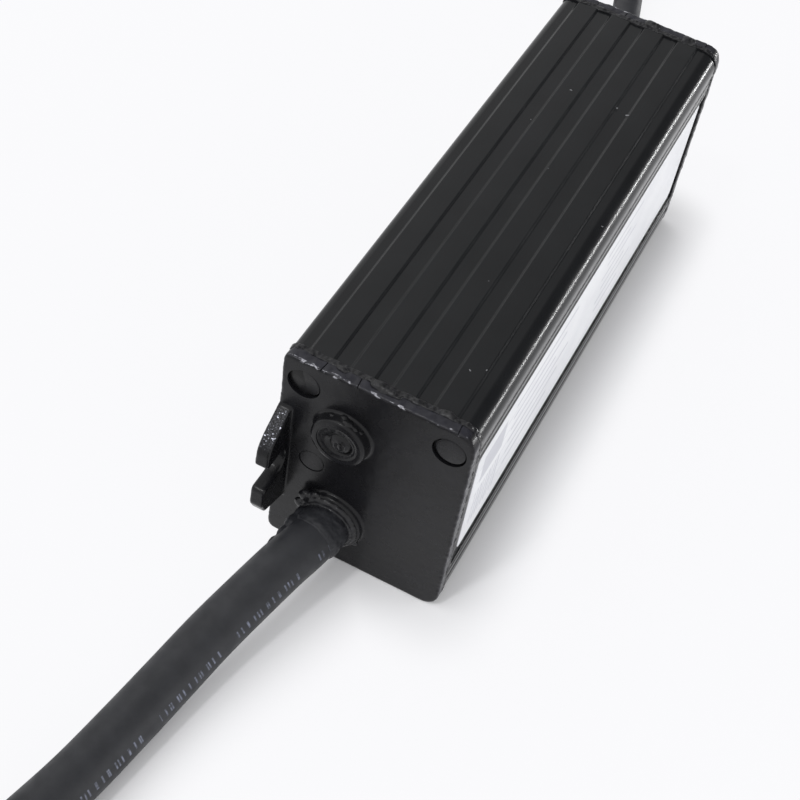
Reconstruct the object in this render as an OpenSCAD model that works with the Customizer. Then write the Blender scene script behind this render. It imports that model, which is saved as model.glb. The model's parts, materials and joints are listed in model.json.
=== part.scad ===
// Sealed driver for LED lamps: an extruded case, two cast end plates with
// mounting ears, a potted circuit board and two flexible leads.
// Lengths are in millimetres. X runs across the case, Y along it, Z up.
// The input lead leaves at -Y and the mounting side faces -X.

/* [Case] */
// Width of the case across its top
case_w = 27; // [26:0.5:40]
// Height of the case
case_h = 37.2; // [36.5:0.1:50]
// Length over both end plates
overall_l = 95; // [93:0.5:200]
// Wall of the extruded case
case_wall = 1.6; // [1.2:0.1:1.8]
// Radius of the two corners on the label side
label_side_r = 2.5; // [1.5:0.1:3]
// Radius of the two corners on the mounting side
mount_side_r = 1.2; // [0.6:0.1:2]
// Width of a raised band on the top and bottom faces
band_w = 3.7; // [3:0.1:4.5]
// Distance from one raised band to the next
band_pitch = 5.8; // [5:0.1:6]
// How far the four bands lie from the middle, towards the mounting side
band_aside = 0.6; // [0:0.1:0.8]
// Height of the raised bands
band_h = 0.25; // [0.1:0.05:0.4]
// Width of a band's sloping flank
band_flank = 0.3; // [0.1:0.05:0.5]
// Width of a fine line above and below the label
line_w = 0.9; // [0.4:0.1:1]
// Distance from one fine line to the next
line_pitch = 2; // [1.5:0.1:2.2]
// Depth of the fine lines
line_depth = 0.25; // [0.1:0.05:0.3]

/* [Label] */
// Height of the recess that the label lies in
recess_h = 22.6; // [18:0.1:24]
// Depth of the recess
recess_depth = 0.3; // [0.15:0.05:0.4]
// Height of the label
label_h = 20.1; // [10:0.1:21]
// Length of the label
label_l = 86.6; // [40:0.1:90]
// Thickness of the label
label_t = 0.12; // [0.05:0.01:0.15]
// How far the label's middle lies above the middle of its recess
label_rise = 0.4; // [0:0.1:0.5]

/* [End plates] */
// Thickness of an end plate's rim
plate_t = 1.8; // [1.6:0.1:3]
// Thickness of the sealant between a plate and the case
seal_t = 0.5; // [0.2:0.1:1]
// How far a plate's spigot reaches into the case
spigot_l = 1.2; // [0.6:0.1:2]
// Distance of a plate screw from the case's side
screw_in_x = 3.2; // [3:0.1:4]
// Distance of a plate screw from the case's top
screw_in_z = 4.1; // [3.8:0.1:5]
// Radius of a plate screw's head
head_r = 2.05; // [1.8:0.05:2.2]
// Height of a plate screw's countersunk head
head_h = 1.1; // [0.8:0.1:1.2]
// Radius of a plate screw's shank
shank_r = 1.2; // [0.8:0.05:1.3]
// Length of a plate screw's shank
shank_l = 8; // [5:0.5:12]
// Thickness of the filler over a screw head
screw_filler_t = 0.35; // [0.1:0.05:0.4]
// Radius of the fill port's boss at its face
boss_r = 3.9; // [3.6:0.1:4.4]
// How far the boss stands out of the plate
boss_h = 1.8; // [1:0.1:3]
// Radius of the pocket in the boss
pocket_r = 2.9; // [2.5:0.1:3.2]
// Depth of the pocket in the boss
pocket_depth = 1.4; // [0.8:0.1:2]
// Radius of the fill port
port_r = 2; // [1:0.1:2.2]
// Height of the plate screws above the fill port's centre
port_drop = 6.1; // [5.8:0.1:7]
// Radius of the round mark beside the boss
mark_r = 1.9; // [1:0.1:2]
// Depth of the round mark
mark_depth = 0.2; // [0.1:0.05:0.4]
// Height of the round mark, as a share of the way from the cable's centre to the fill port's
mark_rise_share = 0.544; // [0.53:0.001:0.56]
// How far the round mark lies from the boss's middle, towards the mounting side
mark_aside = 3.9; // [3.5:0.1:4.2]

/* [Mounting ears] */
// Thickness of an ear
ear_t = 2; // [1.5:0.1:3]
// How far an ear stands out of its plate
ear_reach = 5.4; // [5:0.1:8]
// Height of an ear where it meets the plate
ear_root_h = 18.8; // [18:0.1:20]
// Height of an ear at its tip
ear_tip_h = 14; // [12:0.1:16]
// Width of the open mounting slot
slot_w = 4.3; // [4.1:0.1:5]
// Distance of the slot's round end from the plate
slot_in = 0.5; // [0.3:0.1:1]
// How far the ear's middle lies below the middle of the case
ear_drop = 0.4; // [0:0.1:1]

/* [Cable outlets] */
// Height of the cables' centre above the case's bottom
cable_z = 9; // [8.5:0.1:10]
// How far the cables' centre lies from the case's middle, towards the mounting side
cable_aside = 4; // [3.5:0.1:5]
// Radius of the input cable
input_cable_r = 3.6; // [3:0.1:3.6]
// Radius of the output cable
output_cable_r = 2.85; // [2:0.05:3.4]
// Radius of the cast collar round a cable
collar_r = 4.9; // [4.8:0.1:5.4]
// How far the collar stands out of the plate
collar_h = 1; // [0.5:0.1:2]
// Wall of the rubber grommet in the collar
grommet_wall = 0.7; // [0.4:0.1:0.7]
// Radius of the grommet's inner flange
flange_r = 5.2; // [4.6:0.1:5.6]
// Thickness of the grommet's inner flange
flange_t = 1.1; // [0.6:0.1:1.5]

/* [Circuit board] */
// Length of the board
board_l = 72; // [70:0.5:150]
// Thickness of the board
board_t = 1.6; // [1:0.1:1.6]
// Space behind the board for its solder side
solder_room = 4.3; // [3.8:0.1:4.8]
// How far the board's edge reaches into a rail
rail_grip = 1.2; // [0.8:0.1:1.4]
// Width of a rail's rib
rib_w = 1; // [0.6:0.1:1.2]

/* [Input components] */
// Radius of the input capacitor
input_cap_r = 6.3; // [4:0.1:6.5]
// Height of the input capacitor, as a share of the room over the board
input_cap_h_share = 0.9; // [0.5:0.01:0.95]
// Radius of the choke's ring
choke_r = 5.2; // [4:0.1:5.4]
// Radius of the hole in the choke's ring
choke_hole_r = 2.8; // [2:0.1:3]
// Height of the choke's ring
choke_h = 5; // [3:0.1:8]
// Thickness of the choke's winding
choke_wire_t = 0.8; // [0.4:0.1:1]
// Radius of the varistor's disc
varistor_r = 4.2; // [3:0.1:4.4]
// Thickness of the varistor's disc
varistor_t = 3.2; // [2:0.1:3.4]

/* [Transformer] */
// Length of the core
core_l = 19; // [17:0.1:20]
// Height of the core
core_h = 16; // [14:0.1:17]
// Thickness of the core, as a share of the room over the board
core_t_share = 0.31; // [0.2:0.01:0.35]
// Width of the core's middle leg
leg_w = 5.4; // [4:0.1:6]
// Width of the core's yokes and outer legs
yoke_w = 2.7; // [2:0.1:3]
// Wall of the bobbin
bobbin_wall = 0.8; // [0.5:0.1:1]
// Depth of the winding on the bobbin, as a share of the room over the board
winding_depth_share = 0.15; // [0.08:0.01:0.16]

/* [Output components] */
// Radius of the output capacitor
output_cap_r = 5.1; // [3:0.1:5.3]
// Height of the output capacitor, as a share of the room over the board
output_cap_h_share = 0.81; // [0.4:0.01:0.9]
// Radius of the suppression capacitor's disc
disc_cap_r = 3.3; // [2:0.1:3.4]
// Thickness of the suppression capacitor's disc
disc_cap_t = 3; // [2:0.1:4]

/* [Leads] */
// Radius of an insulated core
core_wire_r = 1.15; // [0.8:0.05:1.15]
// Radius of a tinned conductor
conductor_r = 0.5; // [0.3:0.05:0.7]
// Length of a tinned conductor
conductor_l = 6; // [3:0.5:8]
// Thickness of a tie's band
tie_t = 0.7; // [0.4:0.1:0.7]
// Width of a tie's band
tie_w = 3.6; // [2:0.1:4]

/* [Hidden] */
// Overrun of every cut
over = 0.1;
// Gap between a plate's spigot and the case, and between a screw and its seat
slip = 0.15;
// Gap between a screw's shank and its channel, and between a cable and its grommet
fit_gap = 0.05;
// Gap between the board's edge and its rail
rail_gap = 0.15;
// Gap between a winding or bobbin and what it is wound on
wind_gap = 0.05;
// Gap between the two runs of a cord and the tie round them
tie_gap = 0.34;
// Wall of the case round a screw channel
channel_wall = 1.05;

$fn = 48;

// Places along the case
plate_y = overall_l / 2;
plate_in_y = plate_y - plate_t;
case_end_y = plate_in_y - seal_t;
case_l = 2 * case_end_y;
spigot_y = case_end_y - spigot_l;

// Places across the case
half_w = case_w / 2;
cav_x = half_w - case_wall;
cav_z0 = case_wall;
cav_z1 = case_h - case_wall;
mid_z = case_h / 2;
screw_x = half_w - screw_in_x;
screw_z = case_h - screw_in_z;
channel_r = shank_r + fit_gap + channel_wall;
cable_x = -cable_aside;
port_z = screw_z - port_drop;
mark_x = cable_x - mark_aside;
mark_z = cable_z + (port_z - cable_z) * mark_rise_share;
boss_base_r = boss_r + band_flank;
ear_z = mid_z - ear_drop;

// The board lies upright, its solder side towards the mounting side
board_x0 = -cav_x + solder_room;
board_x1 = board_x0 + board_t;
board_z0 = cav_z0 + rail_gap;
board_z1 = cav_z1 - rail_gap;
board_w = board_z1 - board_z0;
room_x = cav_x - board_x1;
power_room_x = screw_x - channel_r - board_x1;
input_cap_h = room_x * input_cap_h_share;
output_cap_h = room_x * output_cap_h_share;
core_t = room_x * core_t_share;
winding_depth = room_x * winding_depth_share;
web_x = rail_gap + rib_w - board_x0 - over;

// Box-shaped components, as shares of the room over the board, its length and its width
fuse_size_share = [0.45, 0.055, 0.25];
safety_cap_size_share = [0.67, 0.083, 0.38];
bridge_size_share = [0.5, 0.05, 0.27];
opto_size_share = [0.2, 0.064, 0.19];
chip_size_share = [0.084, 0.07, 0.12];
resistor_size_share = [0.028, 0.018, 0.06];
pad_t = 0.5;
liner_t = 0.4;
liner_gap = 0.5;
solder_r = 0.8;
solder_h = 0.7;
wire_r = 0.9;
wire_step = 1.9;

// The power devices fill the room between the board and a screw channel, by shares of that room
power_size_share = [0.857, 0.139, 0.133];
power_lift_share = 0.107;
power_size = [power_room_x * power_size_share[0], board_l * power_size_share[1],
    board_w * power_size_share[2]];
power_x = board_x1 + power_room_x * power_lift_share;

// Places on the board, as shares of its length and its width
fuse_share = [0.063, 0.66];
varistor_share = [0.12, 0.36];
safety_cap_share = [0.202, 0.32];
choke_share = [0.208, 0.75];
bridge_share = [0.303, 0.3];
input_cap_share = [0.438, 0.27];
opto_share = [0.431, 0.64];
transistor_share = 0.431;
transformer_share = [0.694, 0.45];
transformer_lift_share = 0.46;
diode_share = 0.889;
output_cap_share = [0.917, 0.51];
disc_cap_share = [0.903, 0.17];
chip_share = [0.47, 0.56];
resistor_shares = [[0.2, 0.5], [0.3, 0.62], [0.38, 0.4], [0.6, 0.6], [0.72, 0.45], [0.8, 0.6]];
solder_shares = [[0.06, 0.58], [0.06, 0.74], [0.12, 0.3], [0.12, 0.42], [0.2, 0.16], [0.2, 0.42],
    [0.16, 0.7], [0.26, 0.7], [0.3, 0.2], [0.3, 0.4], [0.4, 0.27], [0.48, 0.27], [0.62, 0.3],
    [0.77, 0.3], [0.62, 0.7], [0.77, 0.7], [0.88, 0.51], [0.95, 0.51]];
wire_end_share = 0.035;

// Centreline of the input cable, from its inner end to its stripped end
input_route = [
    [-4, -41.5, 9], [-4, -49, 9], [-4.7, -53, 8.8], [-6, -57.5, 8.1], [-7.7, -64, 6.9],
    [-9.2, -70, 5.7], [-10.7, -78, 4.5], [-12, -86, 3.9], [-13.5, -95, 3.6], [-15.4, -104, 3.8],
    [-17.2, -114, 4.7], [-18.6, -124.5, 3.9], [-22.5, -133, 3.6], [-29, -140, 3.6],
    [-34.2, -146.5, 3.6], [-37.4, -156, 3.6], [-36, -166.5, 3.6], [-30.5, -175.5, 3.6],
    [-21.7, -181, 3.6], [-13.5, -182.5, 3.6], [-5.2, -181, 3.6], [3.5, -175.5, 3.6],
    [9.1, -166.5, 3.6], [10.5, -156, 3.6], [7.3, -146.5, 3.6], [2, -140, 3.6],
    [-4.4, -133, 3.6], [-8.3, -124.5, 3.9], [-9.7, -116, 4.7], [-9.7, -110, 4.7]];
input_tie_at = [-13.45, -114.2, 4.7];
input_tie_half = 3.75;

// Centreline of the output cable, from its inner end to its stripped end
output_route = [
    [-4, 41.5, 9], [-4, 49, 9], [-4.4, 55, 8.6], [-5.6, 63, 7.4], [-7.9, 74, 5.2],
    [-10.6, 85, 3.5], [-14.2, 98, 2.85], [-16.5, 107, 3.2], [-17.2, 116, 3.9],
    [-16, 124, 3.1], [-12.7, 131, 2.85], [-7.3, 137, 2.85], [-2, 144, 2.85], [-0.2, 152.5, 2.85],
    [-2, 161, 2.85], [-7.3, 168, 2.85], [-15, 172, 2.85], [-25.3, 172, 2.85], [-33, 168, 2.85],
    [-38.3, 161, 2.85], [-40.1, 152.5, 2.85], [-38.3, 144, 2.85], [-33, 137, 2.85],
    [-27.6, 131, 2.85], [-24.3, 124, 3.1], [-23.1, 117, 3.9], [-23.1, 111, 3.9]];
output_tie_at = [-20.15, 116, 3.9];
output_tie_half = 2.95;

// Centrelines of the insulated cores past the cables' jackets
live_route = [
    [-10.95, -110, 4.1], [-10.8, -106, 2.2], [-9.2, -102, 1.15],
    [-4.5, -99.2, 1.15], [5, -98, 1.15]];
neutral_route = [
    [-8.45, -110, 4.1], [-7.4, -107.2, 2.3], [-4.2, -106.4, 1.15],
    [1, -107.4, 1.15], [8, -111, 1.15]];
earth_route = [
    [-9.7, -110, 6.2], [-9, -106.4, 4.6], [-6.2, -103.2, 1.9],
    [-1, -102.6, 1.15], [8.5, -103.4, 1.15]];
positive_route = [
    [-24.3, 111, 3.4], [-25, 107.6, 1.8], [-28, 104.6, 1.15],
    [-32.5, 103.6, 1.15], [-37, 104.6, 1.15]];
negative_route = [
    [-21.9, 111, 3.4], [-22.1, 106.8, 1.6], [-24.4, 102.6, 1.15],
    [-28.4, 99.6, 1.15], [-34.4, 97.4, 1.15]];

// Vectors and swept tubes
function unit(v) = v / norm(v);
function heading(p, i) = unit(p[min(i + 1, len(p) - 1)] - p[max(i - 1, 0)]);
function ring(at, along, r, sides) =
    let (aside = unit(cross(along, [0, 0, 1])), up = cross(aside, along))
    [for (k = [0:sides - 1]) at + r * (cos(360 * k / sides) * aside + sin(360 * k / sides) * up)];

// A round tube along a route, its first end square to the direction given
module tube(route, r, sides, first) {
    n = len(route);
    points = [for (i = [0:n - 1]) each ring(route[i], i == 0 ? first : heading(route, i), r, sides)];
    skin = [for (i = [0:n - 2], k = [0:sides - 1])
        let (a = i * sides + k, b = i * sides + (k + 1) % sides) [a, b, b + sides, a + sides]];
    caps = [[for (k = [sides - 1:-1:0]) k], [for (k = [0:sides - 1]) (n - 1) * sides + k]];
    polyhedron(points, concat(skin, caps), convexity = 6);
}

// A bare conductor that carries on from the last stretch of a core's route
module conductor(route) {
    n = len(route);
    along = route[n - 1] - route[n - 2];
    translate(route[n - 1])
        rotate([0, 90, atan2(along[1], along[0])]) cylinder(r = conductor_r, h = conductor_l);
}

// A flat shape drawn in X and Z, made into a block between two places along Y
module along_y(y0, y1) {
    translate([0, y1, 0]) rotate([90, 0, 0]) linear_extrude(y1 - y0) children();
}

// A round bar along Y
module bar_y(x, z, y0, y1, r) {
    translate([x, y1, z]) rotate([90, 0, 0]) cylinder(r = r, h = y1 - y0);
}

// What is left outside a rounded corner, cut away at the origin's corner
module corner_waste(r) {
    difference() {
        translate([-over, -over]) square(r + over);
        translate([r, r]) circle(r);
    }
}

// Outline of the plates and the sealant; an inset lowers the top and lifts the bottom
module body_outline(inset = 0) {
    top_z = case_h - inset;
    difference() {
        translate([-half_w, inset]) square([case_w, top_z - inset]);
        translate([-half_w, inset]) corner_waste(mount_side_r);
        translate([-half_w, top_z]) mirror([0, 1]) corner_waste(mount_side_r);
        translate([half_w, inset]) mirror([1, 0]) corner_waste(label_side_r);
        translate([half_w, top_z]) mirror([1, 0]) mirror([0, 1]) corner_waste(label_side_r);
    }
}

// Outline of the case, with its raised bands at the top and the bottom
module case_outline() {
    body_outline(band_h);
    for (i = [0:3]) {
        x = (i - 1.5) * band_pitch - band_aside;
        foot = band_w / 2;
        crest = foot - band_flank;
        polygon([[x - foot, band_h], [x - crest, 0], [x + crest, 0], [x + foot, band_h],
            [x + foot, case_h - band_h], [x + crest, case_h], [x - crest, case_h],
            [x - foot, case_h - band_h]]);
    }
}

// Section of a fine line, cut down from the line z = 0
module line_cut() {
    flank = line_w / 3;
    polygon([[0, over], [0, 0], [flank, -line_depth], [line_w - flank, -line_depth],
        [line_w, 0], [line_w, over]]);
}

// Screw channels and board rails inside the case
module inner_ribs() {
    for (side = [-1, 1]) {
        translate([side * screw_x, screw_z]) circle(channel_r);
        translate([side * (web_x + cav_x) / 2, (screw_z + cav_z1) / 2])
            square([cav_x - web_x + over, cav_z1 - screw_z + over], center = true);
    }
    for (z = [cav_z0 - over, cav_z1 - rail_grip])
        for (x = [board_x0 - rail_gap - rib_w, board_x1 + rail_gap])
            translate([x, z]) square([rib_w, rail_grip + over]);
}

// The hollow of the case, as the potting fills it
module cavity_outline() {
    difference() {
        translate([-cav_x, cav_z0]) square([2 * cav_x, cav_z1 - cav_z0]);
        inner_ribs();
    }
}

// Extruded case with raised bands, fine lines and the label's recess
module case() {
    color([0.17, 0.17, 0.18])
    along_y(-case_end_y, case_end_y)
    difference() {
        case_outline();
        cavity_outline();
        for (side = [-1, 1])
            translate([side * screw_x, screw_z]) circle(shank_r + fit_gap);
        translate([half_w - recess_depth, mid_z - recess_h / 2])
            square([recess_depth + over, recess_h]);
        for (i = [0:1], side = [-1, 1])
            translate([half_w, mid_z + side * (recess_h / 2 + line_w + i * line_pitch)])
                rotate([0, 0, -90]) translate([-line_w / 2, 0]) line_cut();
    }
}

// Label stuck in the recess
module side_label() {
    color([0.9, 0.9, 0.91])
    translate([half_w - recess_depth, -label_l / 2, mid_z + label_rise - label_h / 2])
        cube([label_t, label_l, label_h]);
}

// Outline of an ear, seen from the side: Y away from the plate, Z up from its middle
module ear_outline() {
    slope = (ear_root_h - ear_tip_h) / 2;
    tip_cut = ear_tip_h * 0.12;
    slot_y = slot_in + slot_w / 2;
    difference() {
        polygon([
            [-plate_t, ear_root_h / 2], [0, ear_root_h / 2],
            [ear_reach - tip_cut, ear_root_h / 2 - slope], [ear_reach, ear_tip_h / 2 - tip_cut],
            [ear_reach, tip_cut - ear_tip_h / 2], [ear_reach - tip_cut, slope - ear_root_h / 2],
            [0, -ear_root_h / 2], [-plate_t, -ear_root_h / 2]]);
        translate([slot_y, 0]) circle(slot_w / 2);
        translate([slot_y, -slot_w / 2]) square([ear_reach, slot_w]);
    }
}

// Cast end plate at the input end: rim, spigot, fill boss, cable collar and ear
module end_plate() {
    difference() {
        union() {
            along_y(-plate_y, -plate_in_y) body_outline();
            along_y(-plate_in_y - over, -spigot_y)
                translate([slip - cav_x, cav_z0 + rail_grip + slip])
                    square([2 * (cav_x - slip), screw_z - channel_r - cav_z0 - rail_grip - 2 * slip]);
            translate([cable_x, -plate_y + over, port_z]) rotate([90, 0, 0])
                cylinder(r1 = boss_base_r, r2 = boss_r, h = boss_h + over);
            bar_y(cable_x, cable_z, -plate_y - collar_h, -plate_y + over, collar_r);
            translate([ear_t - half_w, -plate_y, ear_z]) rotate([0, 0, -90]) rotate([90, 0, 0])
                linear_extrude(ear_t) ear_outline();
        }
        for (side = [-1, 1]) {
            bar_y(side * screw_x, screw_z, -plate_y - over, -plate_y + screw_filler_t + slip,
                head_r + slip);
            translate([side * screw_x, -plate_y + screw_filler_t + slip, screw_z]) rotate([-90, 0, 0])
                cylinder(r1 = head_r + fit_gap, r2 = shank_r + fit_gap, h = head_h);
            bar_y(side * screw_x, screw_z, -plate_y, -spigot_y + over, shank_r + fit_gap);
        }
        bar_y(cable_x, port_z, -plate_y - boss_h - over, -plate_y - boss_h + pocket_depth, pocket_r);
        bar_y(cable_x, port_z, -plate_y - boss_h, -spigot_y + over, port_r);
        bar_y(cable_x, cable_z, -plate_y - collar_h - over, -spigot_y + over,
            input_cable_r + grommet_wall + 2 * fit_gap);
        bar_y(mark_x, mark_z, -plate_y - over, -plate_y + mark_depth, mark_r);
    }
}

module input_end_plate() {
    color([0.2, 0.2, 0.21]) end_plate();
}

module output_end_plate() {
    color([0.2, 0.2, 0.21]) mirror([0, 1, 0]) end_plate();
}

// Bead of sealant between a plate's rim and the end of the case
module end_seal() {
    along_y(-plate_in_y, -case_end_y)
    difference() {
        body_outline();
        translate([-cav_x, cav_z0 + rail_grip])
            square([2 * cav_x, screw_z - channel_r - cav_z0 - rail_grip]);
        for (side = [-1, 1])
            translate([side * screw_x, screw_z]) circle(shank_r + fit_gap);
    }
}

module input_seal() {
    color([0.08, 0.08, 0.09]) end_seal();
}

module output_seal() {
    color([0.08, 0.08, 0.09]) mirror([0, 1, 0]) end_seal();
}

// Countersunk screw, its head at the top of the recess
module plate_screw() {
    rotate_extrude()
        polygon([[0, 0], [head_r, 0], [shank_r, head_h], [shank_r, head_h + shank_l],
            [0, head_h + shank_l]]);
}

module plate_screws() {
    for (side = [-1, 1])
        translate([side * screw_x, -plate_y + screw_filler_t + slip, screw_z])
            rotate([-90, 0, 0]) plate_screw();
}

module input_plate_screws() {
    color([0.7, 0.7, 0.72]) plate_screws();
}

module output_plate_screws() {
    color([0.7, 0.7, 0.72]) mirror([0, 1, 0]) plate_screws();
}

// Discs of filler over the two screw heads
module screw_fillers() {
    for (side = [-1, 1])
        bar_y(side * screw_x, screw_z, -plate_y + slip, -plate_y + screw_filler_t + slip, head_r + slip);
}

module input_screw_fillers() {
    color([0.22, 0.22, 0.23]) screw_fillers();
}

module output_screw_fillers() {
    color([0.22, 0.22, 0.23]) mirror([0, 1, 0]) screw_fillers();
}

// Set compound that closes the fill port, with a low dome in the boss's pocket
module port_plug() {
    floor_y = -plate_y - boss_h + pocket_depth;
    dome_h = pocket_depth / 2;
    bar_y(cable_x, port_z, floor_y - over, -spigot_y, port_r);
    translate([cable_x, floor_y, port_z]) rotate([90, 0, 0])
        rotate_extrude()
            polygon([[0, 0], [pocket_r, 0], [pocket_r, dome_h / 2], [pocket_r * 0.8, dome_h / 3],
                [pocket_r * 0.45, dome_h], [0, dome_h * 1.2]]);
}

module input_port_plug() {
    color([0.14, 0.14, 0.15]) port_plug();
}

module output_port_plug() {
    color([0.14, 0.14, 0.15]) mirror([0, 1, 0]) port_plug();
}

// Rubber grommet through a collar, with a flange behind the spigot
module grommet(bore_r) {
    outer_r = input_cable_r + grommet_wall + fit_gap;
    difference() {
        union() {
            bar_y(cable_x, cable_z, -plate_y - collar_h, -spigot_y, outer_r);
            bar_y(cable_x, cable_z, -spigot_y, -spigot_y + flange_t, flange_r);
        }
        bar_y(cable_x, cable_z, -plate_y - collar_h - over, -spigot_y + flange_t + over, bore_r + fit_gap);
    }
}

module input_grommet() {
    color([0.12, 0.12, 0.13]) grommet(input_cable_r);
}

module output_grommet() {
    color([0.12, 0.12, 0.13]) mirror([0, 1, 0]) grommet(output_cable_r);
}

// Ring of sealant on the collar's face, round the cable
module collar_sealant(bore_r) {
    ring_h = collar_h * 0.7;
    translate([cable_x, -plate_y - collar_h, cable_z]) rotate([90, 0, 0])
        rotate_extrude()
            polygon([[bore_r + fit_gap, 0], [collar_r, 0], [collar_r * 0.97, ring_h * 0.6],
                [(bore_r + collar_r) / 2, ring_h], [bore_r + fit_gap, ring_h * 0.8]]);
}

module input_collar_sealant() {
    color([0.08, 0.08, 0.09]) collar_sealant(input_cable_r);
}

module output_collar_sealant() {
    color([0.08, 0.08, 0.09]) mirror([0, 1, 0]) collar_sealant(output_cable_r);
}

module input_cable() {
    color([0.17, 0.17, 0.18]) tube(input_route, input_cable_r, 10, [0, -1, 0]);
}

module output_cable() {
    color([0.17, 0.17, 0.18]) tube(output_route, output_cable_r, 10, [0, 1, 0]);
}

module live_core() {
    color([0.4, 0.22, 0.12]) tube(live_route, core_wire_r, 8, [0, 1, 0]);
}

module neutral_core() {
    color([0.1, 0.25, 0.65]) tube(neutral_route, core_wire_r, 8, [0, 1, 0]);
}

module earth_core() {
    color([0.3, 0.6, 0.15]) tube(earth_route, core_wire_r, 8, [0, 1, 0]);
}

module input_conductors() {
    color([0.8, 0.8, 0.8])
    for (route = [live_route, neutral_route, earth_route]) conductor(route);
}

module positive_core() {
    color([0.7, 0.08, 0.08]) tube(positive_route, core_wire_r, 8, [0, -1, 0]);
}

module negative_core() {
    color([0.06, 0.06, 0.07]) tube(negative_route, core_wire_r, 8, [0, -1, 0]);
}

module output_conductors() {
    color([0.8, 0.8, 0.8])
    for (route = [positive_route, negative_route]) conductor(route);
}

// Tie round two runs of a cable, with its head on top
module cable_tie(at, half, r) {
    head = [tie_w * 1.2, tie_w * 1.1, tie_w * 0.7];
    inner_r = r + tie_gap;
    translate(at) {
        along_y(-tie_w / 2, tie_w / 2)
        difference() {
            union() {
                for (side = [-1, 1]) translate([side * half, 0]) circle(inner_r + tie_t);
                square([2 * half, 2 * (inner_r + tie_t)], center = true);
            }
            for (side = [-1, 1]) translate([side * half, 0]) circle(inner_r);
            square([2 * half, 2 * inner_r], center = true);
        }
        translate([-head[0] / 2, -head[1] / 2, inner_r + tie_t]) cube(head);
    }
}

module input_cable_tie() {
    color([0.08, 0.08, 0.08]) cable_tie(input_tie_at, input_tie_half, input_cable_r);
}

module output_cable_tie() {
    color([0.08, 0.08, 0.08]) cable_tie(output_tie_at, output_tie_half, output_cable_r);
}

// Places on the board, from shares of its length and width
function board_y(share) = board_l * (share - 0.5);
function board_z(share) = board_z0 + board_w * share;

// A size in millimetres, from its shares
function sized(size_share) = [room_x * size_share[0], board_l * size_share[1], board_w * size_share[2]];

// A box that stands on the board's component side
module on_board(size_share, share) {
    size = sized(size_share);
    translate([board_x1, board_y(share[0]) - size[1] / 2, board_z(share[1]) - size[2] / 2]) cube(size);
}

// A box on the board's solder side
module under_board(size_share, share) {
    size = sized(size_share);
    translate([board_x0 - size[0], board_y(share[0]) - size[1] / 2, board_z(share[1]) - size[2] / 2])
        cube(size);
}

// A can that stands on the board
module can(r, h, share) {
    rim = r * 0.08;
    translate([board_x1, board_y(share[0]), board_z(share[1])]) rotate([0, 90, 0])
        rotate_extrude()
            polygon([[0, 0], [r, 0], [r, rim], [r - rim, 2 * rim], [r, 3 * rim], [r, h - rim],
                [r - rim, h], [0, h]]);
}

// A coated disc that stands on edge, with a stem down to the board
module disc(r, t, share) {
    stem = t / 2;
    translate([board_x1 + stem + r, board_y(share[0]), board_z(share[1])]) rotate([90, 0, 0])
        cylinder(r = r, h = t, center = true);
    translate([board_x1, board_y(share[0]) - stem / 2, board_z(share[1]) - stem / 2])
        cube([stem + r / 2, stem, stem]);
}

// A power device flat under the top wall, its legs bent to the board
module power_device(share) {
    top_z = cav_z1 - pad_t;
    leg = (power_x - board_x1) / 2;
    translate([power_x, board_y(share) - power_size[1] / 2, top_z - power_size[2]]) cube(power_size);
    for (i = [-1:1])
        translate([board_x1, board_y(share) + i * power_size[1] / 4 - leg / 2, top_z - power_size[2] / 2])
            cube([2 * leg + over, leg, leg]);
}

module circuit_board() {
    color([0.1, 0.35, 0.15])
    translate([board_x0, -board_l / 2, board_z0]) cube([board_t, board_l, board_w]);
}

// Wires from a cable's inner end to the board
module board_wires(count) {
    wire_x = board_x1 + wire_r + fit_gap;
    wire_y = -board_y(wire_end_share);
    for (i = [0:count - 1]) {
        z = cable_z + (i - (count - 1) / 2) * wire_step;
        bar_y(wire_x, z, input_route[0][1], -wire_y, wire_r);
        translate([board_x1, -wire_y, z]) rotate([0, 90, 0]) cylinder(r = wire_r, h = wire_r + fit_gap);
        translate([wire_x, -wire_y, z]) sphere(wire_r);
    }
}

module input_board_wires() {
    color([0.4, 0.22, 0.12]) board_wires(3);
}

module output_board_wires() {
    color([0.7, 0.08, 0.08]) mirror([0, 1, 0]) board_wires(2);
}

module fuse() {
    color([0.85, 0.8, 0.7]) on_board(fuse_size_share, fuse_share);
}

module varistor() {
    color([0.1, 0.25, 0.6]) disc(varistor_r, varistor_t, varistor_share);
}

module safety_capacitor() {
    color([0.85, 0.75, 0.2]) on_board(safety_cap_size_share, safety_cap_share);
}

// Ring core of the choke
module choke_core() {
    color([0.2, 0.2, 0.2])
    translate([board_x1 + choke_wire_t + wind_gap, board_y(choke_share[0]), board_z(choke_share[1])])
    rotate([0, 90, 0])
    difference() {
        cylinder(r = choke_r, h = choke_h);
        translate([0, 0, -over]) cylinder(r = choke_hole_r, h = choke_h + 2 * over);
    }
}

// Winding that wraps the ring core
module choke_winding() {
    t = choke_wire_t;
    g = wind_gap;
    color([0.7, 0.4, 0.15])
    translate([board_x1 + t + g, board_y(choke_share[0]), board_z(choke_share[1])])
    rotate([0, 90, 0])
    rotate_extrude()
    difference() {
        translate([choke_hole_r - t - g, -t - g])
            square([choke_r - choke_hole_r + 2 * (t + g), choke_h + 2 * (t + g)]);
        translate([choke_hole_r - g, -g])
            square([choke_r - choke_hole_r + 2 * g, choke_h + 2 * g]);
    }
}

module bridge_rectifier() {
    color([0.1, 0.1, 0.11]) on_board(bridge_size_share, bridge_share);
}

module input_capacitor() {
    color([0.1, 0.1, 0.2]) can(input_cap_r, input_cap_h, input_cap_share);
}

module switching_transistor() {
    color([0.1, 0.1, 0.11]) power_device(transistor_share);
}

module output_diode() {
    color([0.1, 0.1, 0.11]) power_device(diode_share);
}

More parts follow.
